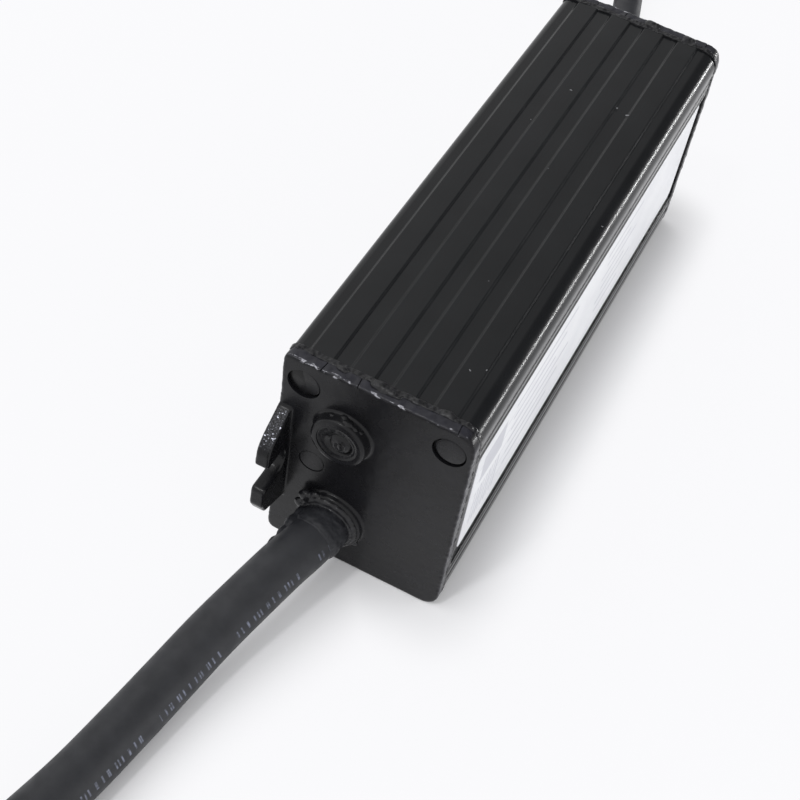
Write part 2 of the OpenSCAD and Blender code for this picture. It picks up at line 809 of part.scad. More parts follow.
// Soft pads between the power devices and the case's wall
module thermal_pads() {
    color([0.6, 0.65, 0.7])
    for (share = [transistor_share, diode_share])
        translate([power_x, board_y(share) - power_size[1] / 2, cav_z1 - pad_t])
            cube([power_size[0], power_size[1], pad_t]);
}

module optocoupler() {
    color([0.12, 0.12, 0.12]) on_board(opto_size_share, opto_share);
}

module controller_chip() {
    color([0.1, 0.1, 0.1]) under_board(chip_size_share, chip_share);
}

module chip_resistors() {
    color([0.15, 0.15, 0.15])
    for (share = resistor_shares) under_board(resistor_size_share, share);
}

// Places of the transformer's middle
core_x = board_x1 + room_x * transformer_lift_share;
core_y = board_y(transformer_share[0]);
core_z = board_z(transformer_share[1]);

// Moves what is drawn about the origin to the transformer's middle
module at_core() {
    translate([core_x, core_y, core_z]) children();
}

// A pair of E cores closed on each other
module transformer_core() {
    window_w = (core_l - leg_w) / 2 - yoke_w;
    color([0.25, 0.25, 0.26])
    at_core()
    difference() {
        cube([core_t, core_l, core_h], center = true);
        for (side = [-1, 1])
            translate([0, side * (leg_w + window_w) / 2, 0])
                cube([core_t + 2 * over, window_w, core_h - 2 * yoke_w], center = true);
    }
}

// Half sizes of the bobbin's tube, across the board and along it
tube_x = core_t / 2 + wind_gap + bobbin_wall;
tube_y = leg_w / 2 + wind_gap + bobbin_wall;
spool_z = core_h / 2 - yoke_w - wind_gap;

// Plastic bobbin: a tube round the middle leg and two flanges, one edge on the board
module transformer_bobbin() {
    flange_x = tube_x + winding_depth + wind_gap;
    flange_y = tube_y + winding_depth + wind_gap;
    foot = core_x - board_x1;
    color([0.15, 0.15, 0.15])
    at_core()
    difference() {
        union() {
            cube([2 * tube_x, 2 * tube_y, 2 * spool_z], center = true);
            for (z = [-spool_z, spool_z - bobbin_wall])
                translate([-foot, -flange_y, z]) cube([foot + flange_x, 2 * flange_y, bobbin_wall]);
        }
        cube([core_t + 2 * wind_gap, leg_w + 2 * wind_gap, 3 * spool_z], center = true);
    }
}

// Copper winding on the bobbin
module transformer_winding() {
    h = 2 * (spool_z - bobbin_wall - wind_gap);
    color([0.85, 0.7, 0.2])
    at_core()
    difference() {
        cube([2 * (tube_x + winding_depth), 2 * (tube_y + winding_depth), h], center = true);
        cube([2 * (tube_x + wind_gap), 2 * (tube_y + wind_gap), h + 2 * over], center = true);
    }
}

module output_capacitor() {
    color([0.1, 0.1, 0.2]) can(output_cap_r, output_cap_h, output_cap_share);
}

module suppression_capacitor() {
    color([0.1, 0.3, 0.6]) disc(disc_cap_r, disc_cap_t, disc_cap_share);
}

module solder_joints() {
    color([0.75, 0.75, 0.77])
    for (share = solder_shares)
        translate([board_x0 - solder_h, board_y(share[0]), board_z(share[1])]) rotate([0, 90, 0])
            cylinder(r1 = solder_r / 2, r2 = solder_r, h = solder_h);
}

// Sheet that keeps the solder side off the case's wall
module insulating_sheet() {
    sheet_z0 = cav_z0 + rail_grip;
    sheet_z1 = screw_z - channel_r - liner_gap;
    color([0.9, 0.9, 0.85])
    translate([liner_gap - cav_x, -board_l / 2, sheet_z0]) cube([liner_t, board_l, sheet_z1 - sheet_z0]);
}

// Compound that fills the case round all that it holds
module potting_compound() {
    color([0.25, 0.25, 0.26])
    difference() {
        along_y(-spigot_y, spigot_y) cavity_outline();
        circuit_board();
        input_board_wires();
        output_board_wires();
        for (m = [0, 1]) mirror([0, m, 0]) {
            bar_y(cable_x, cable_z, -spigot_y - over, -spigot_y + flange_t, flange_r);
            bar_y(cable_x, cable_z, -spigot_y, input_route[0][1],
                (m == 0 ? input_cable_r : output_cable_r));
        }
        fuse();
        varistor();
        safety_capacitor();
        translate([board_x1, board_y(choke_share[0]), board_z(choke_share[1])]) rotate([0, 90, 0])
            cylinder(r = choke_r + choke_wire_t + wind_gap, h = choke_h + 2 * (choke_wire_t + wind_gap));
        bridge_rectifier();
        input_capacitor();
        switching_transistor();
        output_diode();
        thermal_pads();
        optocoupler();
        controller_chip();
        chip_resistors();
        at_core() cube([core_t, core_l, core_h], center = true);
        transformer_bobbin();
        transformer_winding();
        output_capacitor();
        suppression_capacitor();
        solder_joints();
        insulating_sheet();
    }
}

case();
side_label();
input_end_plate();
output_end_plate();
input_seal();
output_seal();
input_plate_screws();
output_plate_screws();
input_screw_fillers();
output_screw_fillers();
input_port_plug();
output_port_plug();
input_grommet();
output_grommet();
input_collar_sealant();
output_collar_sealant();
input_cable();
output_cable();
live_core();
neutral_core();
earth_core();
input_conductors();
positive_core();
negative_core();
output_conductors();
input_cable_tie();
output_cable_tie();
circuit_board();
input_board_wires();
output_board_wires();
fuse();
varistor();
safety_capacitor();
choke_core();
choke_winding();
bridge_rectifier();
input_capacitor();
switching_transistor();
optocoupler();
controller_chip();
chip_resistors();
transformer_core();
transformer_bobbin();
transformer_winding();
output_diode();
output_capacitor();
suppression_capacitor();
thermal_pads();
solder_joints();
insulating_sheet();
potting_compound();
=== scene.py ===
"""Looks of a sealed driver for LED lamps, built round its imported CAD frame.

The extruded case, the cast end plates, the sealant, the label and the two leads get modelled pieces that stand
for their CAD solids. What is sealed inside keeps its CAD shape and gets a finish. Lengths are in metres, X runs
across the case, Y along it from the input lead to the output lead, and Z up.
"""
import json
import logging
import math
from contextlib import contextmanager
from dataclasses import dataclass
from enum import Enum
from typing import Callable, Iterator, Sequence

import bmesh
import bpy
from mathutils import Matrix, Vector


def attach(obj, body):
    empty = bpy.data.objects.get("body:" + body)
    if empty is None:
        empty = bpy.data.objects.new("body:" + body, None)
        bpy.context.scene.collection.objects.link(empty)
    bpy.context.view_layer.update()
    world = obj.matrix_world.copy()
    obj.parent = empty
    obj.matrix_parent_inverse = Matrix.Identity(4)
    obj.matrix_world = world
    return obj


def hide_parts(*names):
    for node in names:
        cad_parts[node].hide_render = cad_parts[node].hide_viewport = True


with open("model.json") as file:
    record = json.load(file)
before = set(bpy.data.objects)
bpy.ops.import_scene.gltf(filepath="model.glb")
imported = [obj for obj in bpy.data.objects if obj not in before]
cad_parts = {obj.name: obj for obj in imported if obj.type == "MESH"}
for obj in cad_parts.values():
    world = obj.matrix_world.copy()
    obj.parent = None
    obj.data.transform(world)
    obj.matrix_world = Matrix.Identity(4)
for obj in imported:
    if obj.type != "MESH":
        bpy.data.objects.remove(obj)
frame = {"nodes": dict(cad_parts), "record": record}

logging.basicConfig(level=logging.INFO, format="%(message)s")
log = logging.getLogger("driver")

MM = 0.001
NEAR = 1e-7
Piece = bpy.types.Object
Socket = bpy.types.NodeSocket


class End(Enum):
    """The two ends of the case, with the side of Y that each lies on."""

    INPUT = -1
    OUTPUT = 1


class Part(Enum):
    """What a selection is made of."""

    POINTS = "VERT"
    EDGES = "EDGE"
    FACES = "FACE"


# The bench: selecting, cutting and finishing by hand


def metres(points: Sequence[Sequence[float]]) -> list[Vector]:
    """Turns a route in millimetres, as the CAD source gives it, to points in metres."""
    return [Vector(p) * MM for p in points]


def take(piece: Piece) -> None:
    """Deselects everything, then selects the piece and makes it active."""
    bpy.ops.object.select_all(action="DESELECT")
    piece.select_set(True)
    bpy.context.view_layer.objects.active = piece


@contextmanager
def editing(piece: Piece) -> Iterator[None]:
    """Opens the piece in edit mode with nothing selected, and closes it after."""
    take(piece)
    bpy.ops.object.mode_set(mode="EDIT")
    bpy.ops.mesh.select_all(action="DESELECT")
    yield
    bpy.ops.object.mode_set(mode="OBJECT")


def middle(item: bmesh.types.BMVert | bmesh.types.BMEdge | bmesh.types.BMFace) -> Vector:
    """Gives the middle of a point, an edge or a face."""
    if isinstance(item, bmesh.types.BMVert):
        return item.co
    return sum((v.co for v in item.verts), Vector()) / len(item.verts)


def pick(piece: Piece, part: Part, test: Callable[[object], bool]) -> int:
    """Selects the points, edges or faces that pass a test, and nothing else.

    Args:
        piece: The piece open in edit mode.
        part: What to select.
        test: Says of one point, edge or face whether it is wanted.

    Returns:
        How many were selected.
    """
    bpy.ops.mesh.select_mode(type=part.value)
    bpy.ops.mesh.select_all(action="DESELECT")
    mesh = bmesh.from_edit_mesh(piece.data)
    group = {Part.POINTS: mesh.verts, Part.EDGES: mesh.edges, Part.FACES: mesh.faces}[part]
    wanted = [item for item in group if test(item)]
    for item in wanted:
        item.select_set(True)
    mesh.select_flush_mode()
    bmesh.update_edit_mesh(piece.data)
    return len(wanted)


def bisect(place: Sequence[float], facing: Sequence[float], clear: bool = False) -> None:
    """Cuts the whole mesh with a plane, and with clear takes off what the plane faces.

    Args:
        place: A point on the plane.
        facing: The plane's normal.
        clear: Takes off the side that the normal points to and closes the cut.
    """
    bpy.ops.mesh.select_all(action="SELECT")
    bpy.ops.mesh.bisect(plane_co=place, plane_no=facing, clear_outer=clear, use_fill=clear,
                        threshold=NEAR)


def add_block(name: str, low: Sequence[float], high: Sequence[float]) -> Piece:
    """Adds a block between two corners.

    Args:
        name: The piece's name.
        low: Its lowest corner.
        high: Its highest corner.

    Returns:
        The block, its place in its mesh.
    """
    a, b = Vector(low), Vector(high)
    bpy.ops.object.select_all(action="DESELECT")
    bpy.ops.mesh.primitive_cube_add(size=1, location=(a + b) / 2, scale=b - a)
    piece = bpy.context.active_object
    piece.name = piece.data.name = name
    bpy.ops.object.transform_apply(location=True, rotation=True, scale=True)
    return piece


def add_drum(name: str, x: float, z: float, y0: float, y1: float, r0: float, r1: float | None = None,
             sides: int = 64) -> Piece:
    """Adds a round bar or cone along Y.

    Args:
        name: The piece's name.
        x: Place of its axis across the case.
        z: Height of its axis.
        y0: Where its outer end lies.
        y1: Where its inner end lies.
        r0: Radius at the outer end.
        r1: Radius at the inner end, the same when left out.
        sides: Number of its sides.

    Returns:
        The bar, its place in its mesh.
    """
    bpy.ops.object.select_all(action="DESELECT")
    bpy.ops.mesh.primitive_cone_add(
        vertices=sides, radius1=r0 if r1 is None else r1, radius2=r0, depth=y1 - y0,
        location=(x, (y0 + y1) / 2, z), rotation=(math.pi / 2, 0, 0))
    piece = bpy.context.active_object
    piece.name = piece.data.name = name
    bpy.ops.object.transform_apply(location=True, rotation=True, scale=True)
    return piece


def add_ball(at: Sequence[float], radius: float, scale: Sequence[float]) -> Piece:
    """Adds a ball, drawn out along the axes.

    Args:
        at: Its middle.
        radius: Its radius.
        scale: How far it is drawn out along X, Y and Z.

    Returns:
        The ball, its place in its mesh.
    """
    bpy.ops.object.select_all(action="DESELECT")
    bpy.ops.mesh.primitive_uv_sphere_add(segments=16, ring_count=10, radius=radius, location=at, scale=scale)
    bpy.ops.object.transform_apply(location=True, rotation=True, scale=True)
    return bpy.context.active_object


def apply_modifier(piece: Piece, kind: str, **settings: object) -> None:
    """Adds a modifier with its settings and applies it at once."""
    take(piece)
    made = piece.modifiers.new(kind.lower(), kind)
    for name, value in settings.items():
        setattr(made, name, value)
    bpy.ops.object.modifier_apply(modifier=made.name)


def cut_away(piece: Piece, *cutters: Piece) -> None:
    """Takes the cutters' shapes out of the piece and removes the cutters."""
    for cutter in cutters:
        apply_modifier(piece, "BOOLEAN", operation="DIFFERENCE", solver="EXACT", object=cutter)
        bpy.data.objects.remove(cutter)


def join(name: str, pieces: Sequence[Piece]) -> Piece:
    """Joins pieces into the first one.

    Args:
        name: The joined piece's name.
        pieces: The pieces, all meshes.

    Returns:
        The joined piece.
    """
    take(pieces[0])
    for piece in pieces[1:]:
        piece.select_set(True)
    if len(pieces) > 1:
        bpy.ops.object.join()
    piece = bpy.context.active_object
    piece.name = piece.data.name = name
    return piece


def melt(piece: Piece, voxel: float, passes: int = 2) -> None:
    """Melts overlapping shells into one skin with soft inner corners, as a casting or a bead has.

    Args:
        piece: The piece.
        voxel: Size of the new faces.
        passes: Rounds of smoothing after it.
    """
    apply_modifier(piece, "REMESH", mode="VOXEL", voxel_size=voxel)
    if passes:
        apply_modifier(piece, "SMOOTH", factor=0.5, iterations=passes)


def swell(piece: Piece, size: float, depth: float, group: str = "", depth_bands: int = 2) -> None:
    """Makes a surface uneven, by pushing it in and out along its normals.

    Args:
        piece: The piece.
        size: Width of a swelling.
        depth: From the lowest to the highest place.
        group: Vertex group that weighs it, or none.
        depth_bands: How many finer sizes lie on the first.
    """
    cloud = bpy.data.textures.new(f"{piece.name}_swell", "CLOUDS")
    cloud.noise_scale = size
    cloud.noise_depth = depth_bands
    apply_modifier(piece, "DISPLACE", texture=cloud, texture_coords="LOCAL", strength=depth, mid_level=0.5,
                   vertex_group=group)
    bpy.data.textures.remove(cloud)


def weigh(piece: Piece, name: str, weight: Callable[[Vector, Vector], float]) -> None:
    """Makes a vertex group whose weights follow from each point's place and normal.

    Args:
        piece: The piece.
        name: The group's name.
        weight: Gives the weight from a place and a normal.
    """
    group = piece.vertex_groups.new(name=name)
    for point in piece.data.vertices:
        group.add([point.index], weight(point.co, point.normal), "REPLACE")


def rest_on_floor(piece: Piece, least: float = 0.00002) -> None:
    """Lifts every point that would lie under the floor."""
    for point in piece.data.vertices:
        point.co.z = max(point.co.z, least)


def smooth(piece: Piece, degrees: float = 35) -> None:
    """Shades the piece smooth, with creases over an angle."""
    take(piece)
    bpy.ops.object.shade_smooth_by_angle(angle=math.radians(degrees))


def turned(piece: Piece, end: End) -> Piece:
    """Mirrors a piece that was built at the input end to the output end, and turns its faces outwards again.

    Args:
        piece: The piece, built for the input end.
        end: The end that it is for.

    Returns:
        The piece.
    """
    if end is End.OUTPUT:
        piece.data.transform(Matrix.Diagonal((1, -1, 1, 1)))
        piece.data.flip_normals()
    return piece


def ready(piece: Piece, finish: "Finish | bpy.types.Material", slot: str, *nodes: str) -> Piece:
    """Gives a piece its finish, ties it to the frame and reports it.

    Args:
        piece: The finished piece.
        finish: Its finish, or a material made before.
        slot: The record's material slot; not used.
        nodes: The CAD nodes that it stands for.

    Returns:
        The piece.
    """
    material = finish.material() if isinstance(finish, Finish) else finish
    piece.data.materials.clear()
    piece.data.materials.append(material)
    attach(piece, "root")
    if nodes:
        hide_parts(*nodes)
    count = sum(len(p.vertices) - 2 for p in piece.data.polygons)
    log.info("piece %s: %d triangles, stands for %s", piece.name, count, ", ".join(nodes) or "nothing")
    return piece


# Finishes


def linear(code: str) -> tuple[float, float, float, float]:
    """Turns an sRGB hex code to linear colour.

    Args:
        code: Six hex digits after a hash.

    Returns:
        Red, green, blue and an alpha of 1.
    """
    parts = [int(code[i:i + 2], 16) / 255 for i in (1, 3, 5)]
    values = [p / 12.92 if p <= 0.04045 else ((p + 0.055) / 1.055) ** 2.4 for p in parts]
    return values[0], values[1], values[2], 1.0


def add_node(tree: bpy.types.NodeTree, kind: str, inputs: dict[str | int, object] | None = None,
             **settings: object) -> bpy.types.Node:
    """Adds a node with its settings, and links or sets its inputs.

    Args:
        tree: The material's or world's tree.
        kind: The node's type.
        inputs: Each input's name or number, with a value or the output that feeds it.
        settings: The node's own settings.

    Returns:
        The node.
    """
    node = tree.nodes.new(kind)
    for name, value in settings.items():
        setattr(node, name, value)
    for name, value in (inputs or {}).items():
        if isinstance(value, Socket):
            tree.links.new(value, node.inputs[name])
        else:
            node.inputs[name].default_value = value
    return node


@dataclass(frozen=True)
class Finish:
    """A finish: what it is, its two close colours, and how its surface was made.

    Attributes:
        name: The material's name.
        colour: Its main colour, sRGB.
        shade: The colour that it drifts to in patches, sRGB.
        patch: Width of those patches.
        rough: Lowest and highest roughness.
        grain: Width of the surface's fine relief.
        relief: Height of that relief.
        stretch: How far the relief is drawn out along X, Y and Z.
        metallic: 1 for uncoated metal.
        ior: Index of refraction of a finish that isn't metal.
        coat: Strength of a clear layer on top.
    """

    name: str
    colour: str
    shade: str
    patch: float = 4 * MM
    rough: tuple[float, float] = (0.35, 0.45)
    grain: float = 0.3 * MM
    relief: float = 0.004 * MM
    stretch: tuple[float, float, float] = (1, 1, 1)
    metallic: float = 0.0
    ior: float = 1.5
    coat: float = 0.0

    def place(self, tree: bpy.types.NodeTree) -> Socket:
        """Gives the coordinates that the patterns read."""
        return add_node(tree, "ShaderNodeTexCoord").outputs["Object"]

    def noise(self, tree: bpy.types.NodeTree, place: Socket, size: float, detail: float = 4,
              stretch: Sequence[float] = (1, 1, 1)) -> Socket:
        """Adds noise of a real size.

        Args:
            tree: The tree.
            place: The coordinates.
            size: Width of a patch, in metres.
            detail: How many finer sizes lie on it.
            stretch: How far it is drawn out along each axis.

        Returns:
            The noise, from 0 to 1.
        """
        scale = tuple(1 / (size * s) for s in stretch)
        mapped = add_node(tree, "ShaderNodeMapping", {"Vector": place, "Scale": scale})
        return add_node(tree, "ShaderNodeTexNoise",
                        {"Vector": mapped.outputs[0], "Scale": 1.0, "Detail": detail}).outputs["Fac"]

    def blend(self, tree: bpy.types.NodeTree, factor: Socket, first: object, second: object) -> Socket:
        """Mixes two colours by a factor."""
        return add_node(tree, "ShaderNodeMix", {0: factor, 6: first, 7: second}, data_type="RGBA").outputs[2]

    def spread(self, tree: bpy.types.NodeTree, value: Socket, low: float, high: float, start: float = 0.35,
               stop: float = 0.65) -> Socket:
        """Maps the middle of a noise to a range."""
        return add_node(tree, "ShaderNodeMapRange", {"Value": value, "From Min": start, "From Max": stop,
                                                     "To Min": low, "To Max": high}).outputs[0]

    def sums(self, tree: bpy.types.NodeTree, operation: str, *values: object) -> Socket:
        """Adds a math node."""
        return add_node(tree, "ShaderNodeMath", dict(enumerate(values)), operation=operation).outputs[0]

    def inside(self, tree: bpy.types.NodeTree, value: Socket, low: float, high: float, soft: float) -> Socket:
        """Gives 1 between two limits and 0 outside, with soft edges.

        Args:
            tree: The tree.
            value: What is compared.
            low: The lower limit.
            high: The upper limit.
            soft: Width of the edge.

        Returns:
            The mask.
        """
        up = add_node(tree, "ShaderNodeMapRange", {"Value": value, "From Min": low - soft / 2,
                                                   "From Max": low + soft / 2}).outputs[0]
        down = add_node(tree, "ShaderNodeMapRange", {"Value": value, "From Min": high + soft / 2,
                                                     "From Max": high - soft / 2}).outputs[0]
        return self.sums(tree, "MULTIPLY", up, down)

    def colours(self, tree: bpy.types.NodeTree, place: Socket) -> Socket:
        """Gives the colour over the surface."""
        drift = self.spread(tree, self.noise(tree, place, self.patch), 0, 1)
        return self.blend(tree, drift, linear(self.colour), linear(self.shade))

    def roughness(self, tree: bpy.types.NodeTree, place: Socket) -> Socket:
        """Gives the roughness over the surface."""
        return self.spread(tree, self.noise(tree, place, self.patch * 0.6, 5), *self.rough)

    def height(self, tree: bpy.types.NodeTree, place: Socket) -> Socket:
        """Gives the relief's height over the surface, in metres."""
        return self.sums(tree, "MULTIPLY", self.noise(tree, place, self.grain, 3, self.stretch), self.relief)

    def material(self) -> bpy.types.Material:
        """Makes the material, or gives the one made before."""
        made = bpy.data.materials.get(f"{self.name}_finish")
        if made:
            return made
        made = bpy.data.materials.new(f"{self.name}_finish")
        made.use_nodes = True
        tree = made.node_tree
        tree.nodes.clear()
        place = self.place(tree)
        bump = add_node(tree, "ShaderNodeBump", {"Height": self.height(tree, place), "Strength": 1.0,
                                                 "Distance": 1.0})
        shader = add_node(tree, "ShaderNodeBsdfPrincipled", {
            "Base Color": self.colours(tree, place), "Roughness": self.roughness(tree, place),
            "Normal": bump.outputs[0], "Metallic": self.metallic, "Coat Weight": self.coat})
        if not self.metallic:
            shader.inputs["IOR"].default_value = self.ior
        add_node(tree, "ShaderNodeOutputMaterial", {"Surface": shader.outputs[0]})
        return made


@dataclass(frozen=True)
class CoatedExtrusion(Finish):
    """Black coat on extruded aluminium: faint die lines run along it under a satin film."""

    def height(self, tree: bpy.types.NodeTree, place: Socket) -> Socket:
        """Adds fine grain of the coat to the die lines."""
        lines = self.sums(tree, "MULTIPLY", self.noise(tree, place, self.grain, 3, (1, 80, 1)), self.relief)
        grain = self.sums(tree, "MULTIPLY", self.noise(tree, place, 0.25 * MM, 2), self.relief * 0.1)
        return self.sums(tree, "ADD", lines, grain)


@dataclass(frozen=True)
class CastPaint(Finish):
    """Black paint on a cast plate: orange peel, a rim lightened by dust and painted sheen, painted highlights along
    the rim's front edge, and painted glints on the grains along the ears' upper edges.

    Attributes:
        ear_x: The ears' inner face.
        face_y: Where the ears begin, along the case.
        painted_glint: Near-white colour of the painted glints on the grains.
        plate_y: How far out the plates' faces lie.
        rim: The rim's half width and height, less the depth of its lighter band.
        dust: Colour of the rim's top and outer sides, lightened by dust and a painted sheen.
        painted_edge_glint: Colour of the painted highlights in spots along the rim's front edge.
    """

    ear_x: float = -11.4 * MM
    face_y: float = 48.2 * MM
    # Near-white of the painted glints on the ears.
    painted_glint: str = "#eef0ff"
    plate_y: float = 47.5 * MM
    rim: tuple[float, float] = (13.3 * MM, 36.9 * MM)
    # The rim's colour: dust and a painted sheen.
    dust: str = "#2b2b31"
    # The painted highlights along the rim's front edge.
    painted_edge_glint: str = "#b4b4bc"

    def ear(self, tree: bpy.types.NodeTree, place: Socket) -> Socket:
        """Gives 1 on the ears' edges that face away from the case, and 0 elsewhere."""
        split = add_node(tree, "ShaderNodeSeparateXYZ", {0: place})
        out = self.sums(tree, "ABSOLUTE", split.outputs["Y"])
        zone = self.sums(tree, "MULTIPLY", self.inside(tree, split.outputs["X"], -1, self.ear_x, 0.3 * MM),
                         self.inside(tree, out, self.face_y, 1, 0.6 * MM))
        facing = add_node(tree, "ShaderNodeSeparateXYZ",
                          {0: add_node(tree, "ShaderNodeTexCoord").outputs["Normal"]})
        edge = self.inside(tree, self.sums(tree, "ABSOLUTE", facing.outputs["X"]), -1, 0.45, 0.3)
        return self.sums(tree, "MULTIPLY", zone, edge)

    def colours(self, tree: bpy.types.NodeTree, place: Socket) -> Socket:
        """Paints glints on the grains along the ears' edges, most of all near their upper ends, a lighter rim of dust
        and painted sheen, and painted highlights in spots along the rim's front edge.
        """
        split = add_node(tree, "ShaderNodeSeparateXYZ", {0: place})
        # Painted glints: near-white flecks on the grains along the ears' edges, strongest near their upper ends.
        high = self.spread(tree, split.outputs["Z"], 0, 1, 23.4 * MM, 25 * MM)
        grains = self.spread(tree, self.noise(tree, place, 0.34 * MM, 2), 0, 1, 0.62, 0.7)
        fine = self.spread(tree, self.noise(tree, place, 0.18 * MM, 2), 0, 0.05, 0.45, 0.6)
        grains = self.sums(tree, "MAXIMUM", grains, fine)
        ear_glints = self.sums(tree, "MULTIPLY", self.sums(tree, "MULTIPLY", grains, high), self.ear(tree, place))
        out = self.sums(tree, "ABSOLUTE", split.outputs["Y"])
        # Dust and painted sheen: the rim's top and outer sides are lightened in patches.
        over = self.sums(tree, "MAXIMUM",
                         self.inside(tree, self.sums(tree, "ABSOLUTE", split.outputs["X"]), self.rim[0], 1, 0.3 * MM),
                         self.inside(tree, split.outputs["Z"], self.rim[1], 1, 0.3 * MM))
        dusty = self.sums(tree, "MULTIPLY", over, self.inside(tree, out, 0, self.plate_y - 0.1 * MM, 0.2 * MM))
        worn = self.sums(tree, "MULTIPLY", dusty, self.spread(tree, self.noise(tree, place, 1.5 * MM), 0.6, 1))
        # Painted highlights: bright spots along the rim's front edge.
        edge = self.inside(tree, out, self.plate_y - 0.4 * MM, self.plate_y + 0.1 * MM, 0.1 * MM)
        edge_glints = self.spread(tree, self.noise(tree, place, 0.45 * MM, 3, (2.2, 1, 1)), 0, 0.8, 0.58, 0.66)
        crest = self.inside(tree, split.outputs["Z"], self.rim[1], 1, 0.3 * MM)
        edge_glints = self.sums(tree, "MULTIPLY", self.sums(tree, "MULTIPLY", edge, crest), edge_glints)
        base = self.blend(tree, worn, Finish.colours(self, tree, place), linear(self.dust))
        base = self.blend(tree, edge_glints, base, linear(self.painted_edge_glint))
        return self.blend(tree, ear_glints, base, linear(self.painted_glint))

    def height(self, tree: bpy.types.NodeTree, place: Socket) -> Socket:
        """Adds orange peel to the fine grain, and coarse grains on the ears' edges."""
        fine = Finish.height(self, tree, place)
        peel = self.sums(tree, "MULTIPLY", self.noise(tree, place, 1.6 * MM, 2), self.relief * 4)
        split = add_node(tree, "ShaderNodeSeparateXYZ", {0: place})
        high = self.spread(tree, split.outputs["Z"], 0.1, 1, 23 * MM, 25 * MM)
        coarse = self.sums(tree, "MULTIPLY", self.noise(tree, place, 0.34 * MM, 2), 0.16 * MM)
        coarse = self.sums(tree, "MULTIPLY", self.sums(tree, "MULTIPLY", coarse, high), self.ear(tree, place))
        return self.sums(tree, "ADD", self.sums(tree, "ADD", fine, peel), coarse)


@dataclass(frozen=True)
class StirredCompound(Finish):
    """Compound that set while it was stirred: rings round the fill port's middle.

    Attributes:
        centre: The port's axis, across and up.
    """

    centre: tuple[float, float] = (-4 * MM, 27 * MM)

    def height(self, tree: bpy.types.NodeTree, place: Socket) -> Socket:
        """Adds wandering rings round the port's axis to the grain."""
        split = add_node(tree, "ShaderNodeSeparateXYZ", {0: place})
        flat = add_node(tree, "ShaderNodeCombineXYZ", {
            0: self.sums(tree, "SUBTRACT", split.outputs["X"], self.centre[0]),
            1: self.sums(tree, "SUBTRACT", split.outputs["Z"], self.centre[1])})
        rings = add_node(tree, "ShaderNodeTexWave", {
            "Vector": flat.outputs[0], "Scale": 0.32 / (0.9 * MM), "Distortion": 1.6, "Detail": 1.0,
            "Detail Scale": 1.2}, wave_type="RINGS", rings_direction="Z")
        return self.sums(tree, "ADD", self.sums(tree, "MULTIPLY", rings.outputs["Fac"], 0.006 * MM),
                         Finish.height(self, tree, place))


@dataclass(frozen=True)
class SunkFiller(Finish):
    """Filler pressed over a screw: where it sank away, its colour darkens towards the hole's bottom as painted shade.

    Attributes:
        flush: How far out the filler lies where it is not darkened, and where it is darkest.
        painted_pit_shade: Colour of the painted shade at the bottom.
    """

    flush: tuple[float, float] = (47.45 * MM, 46.9 * MM)
    # Colour of the painted shade in the hole.
    painted_pit_shade: str = "#040405"

    def colours(self, tree: bpy.types.NodeTree, place: Socket) -> Socket:
        """Darkens what lies deep, as painted shade."""
        out = self.sums(tree, "ABSOLUTE", add_node(tree, "ShaderNodeSeparateXYZ", {0: place}).outputs["Y"])
        # Painted shade: darker the deeper it lies in the hole.
        deep = self.spread(tree, out, 1, 0, self.flush[1], self.flush[0])
        return self.blend(tree, deep, Finish.colours(self, tree, place), linear(self.painted_pit_shade))


@dataclass(frozen=True)
class SmearedSealant(Finish):
    """Sealant: dark on the seam and the collar, dusty and matt where it is smeared thin over the cable.

    Attributes:
        thin: How far out it is thick, and where it is thin.
        dusty: The colour where it is thin.
        matt: Roughness where it is thin.
    """

    thin: tuple[float, float] = (48.9 * MM, 50.2 * MM)
    dusty: str = "#202125"
    matt: float = 0.55

    def thinness(self, tree: bpy.types.NodeTree, place: Socket) -> Socket:
        """Gives 1 where the sealant is thin, 0 where it is thick."""
        out = self.sums(tree, "ABSOLUTE", add_node(tree, "ShaderNodeSeparateXYZ", {0: place}).outputs["Y"])
        return self.spread(tree, out, 0, 1, self.thin[0], self.thin[1])

    def colours(self, tree: bpy.types.NodeTree, place: Socket) -> Socket:
        """Pales what is thin."""
        return self.blend(tree, self.thinness(tree, place), Finish.colours(self, tree, place), linear(self.dusty))

    def roughness(self, tree: bpy.types.NodeTree, place: Socket) -> Socket:
        """Dulls what is thin."""
        dull = self.sums(tree, "MULTIPLY", self.thinness(tree, place), self.matt)
        return self.sums(tree, "MAXIMUM", Finish.roughness(self, tree, place), dull)


@dataclass(frozen=True)
class PrintedFilm(Finish):
    """Label film with plain grey fields and rules in place of its print.

    Attributes:
        fields: Each field's start and stop along Y, and its start and stop in height.
        ink: The fields' colour.
    """

    fields: tuple[tuple[float, float, float, float], ...] = ()
    ink: str = "#b6b7be"

    def colours(self, tree: bpy.types.NodeTree, place: Socket) -> Socket:
        """Prints the fields on the film."""
        split = add_node(tree, "ShaderNodeSeparateXYZ", {0: place})
        total: object = 0.0
        for y0, y1, z0, z1 in self.fields:
            box = self.sums(tree, "MULTIPLY", self.inside(tree, split.outputs["Y"], y0, y1, 0.08 * MM),
                            self.inside(tree, split.outputs["Z"], z0, z1, 0.08 * MM))
            total = self.sums(tree, "MAXIMUM", total, box)
        return self.blend(tree, total, Finish.colours(self, tree, place), linear(self.ink))


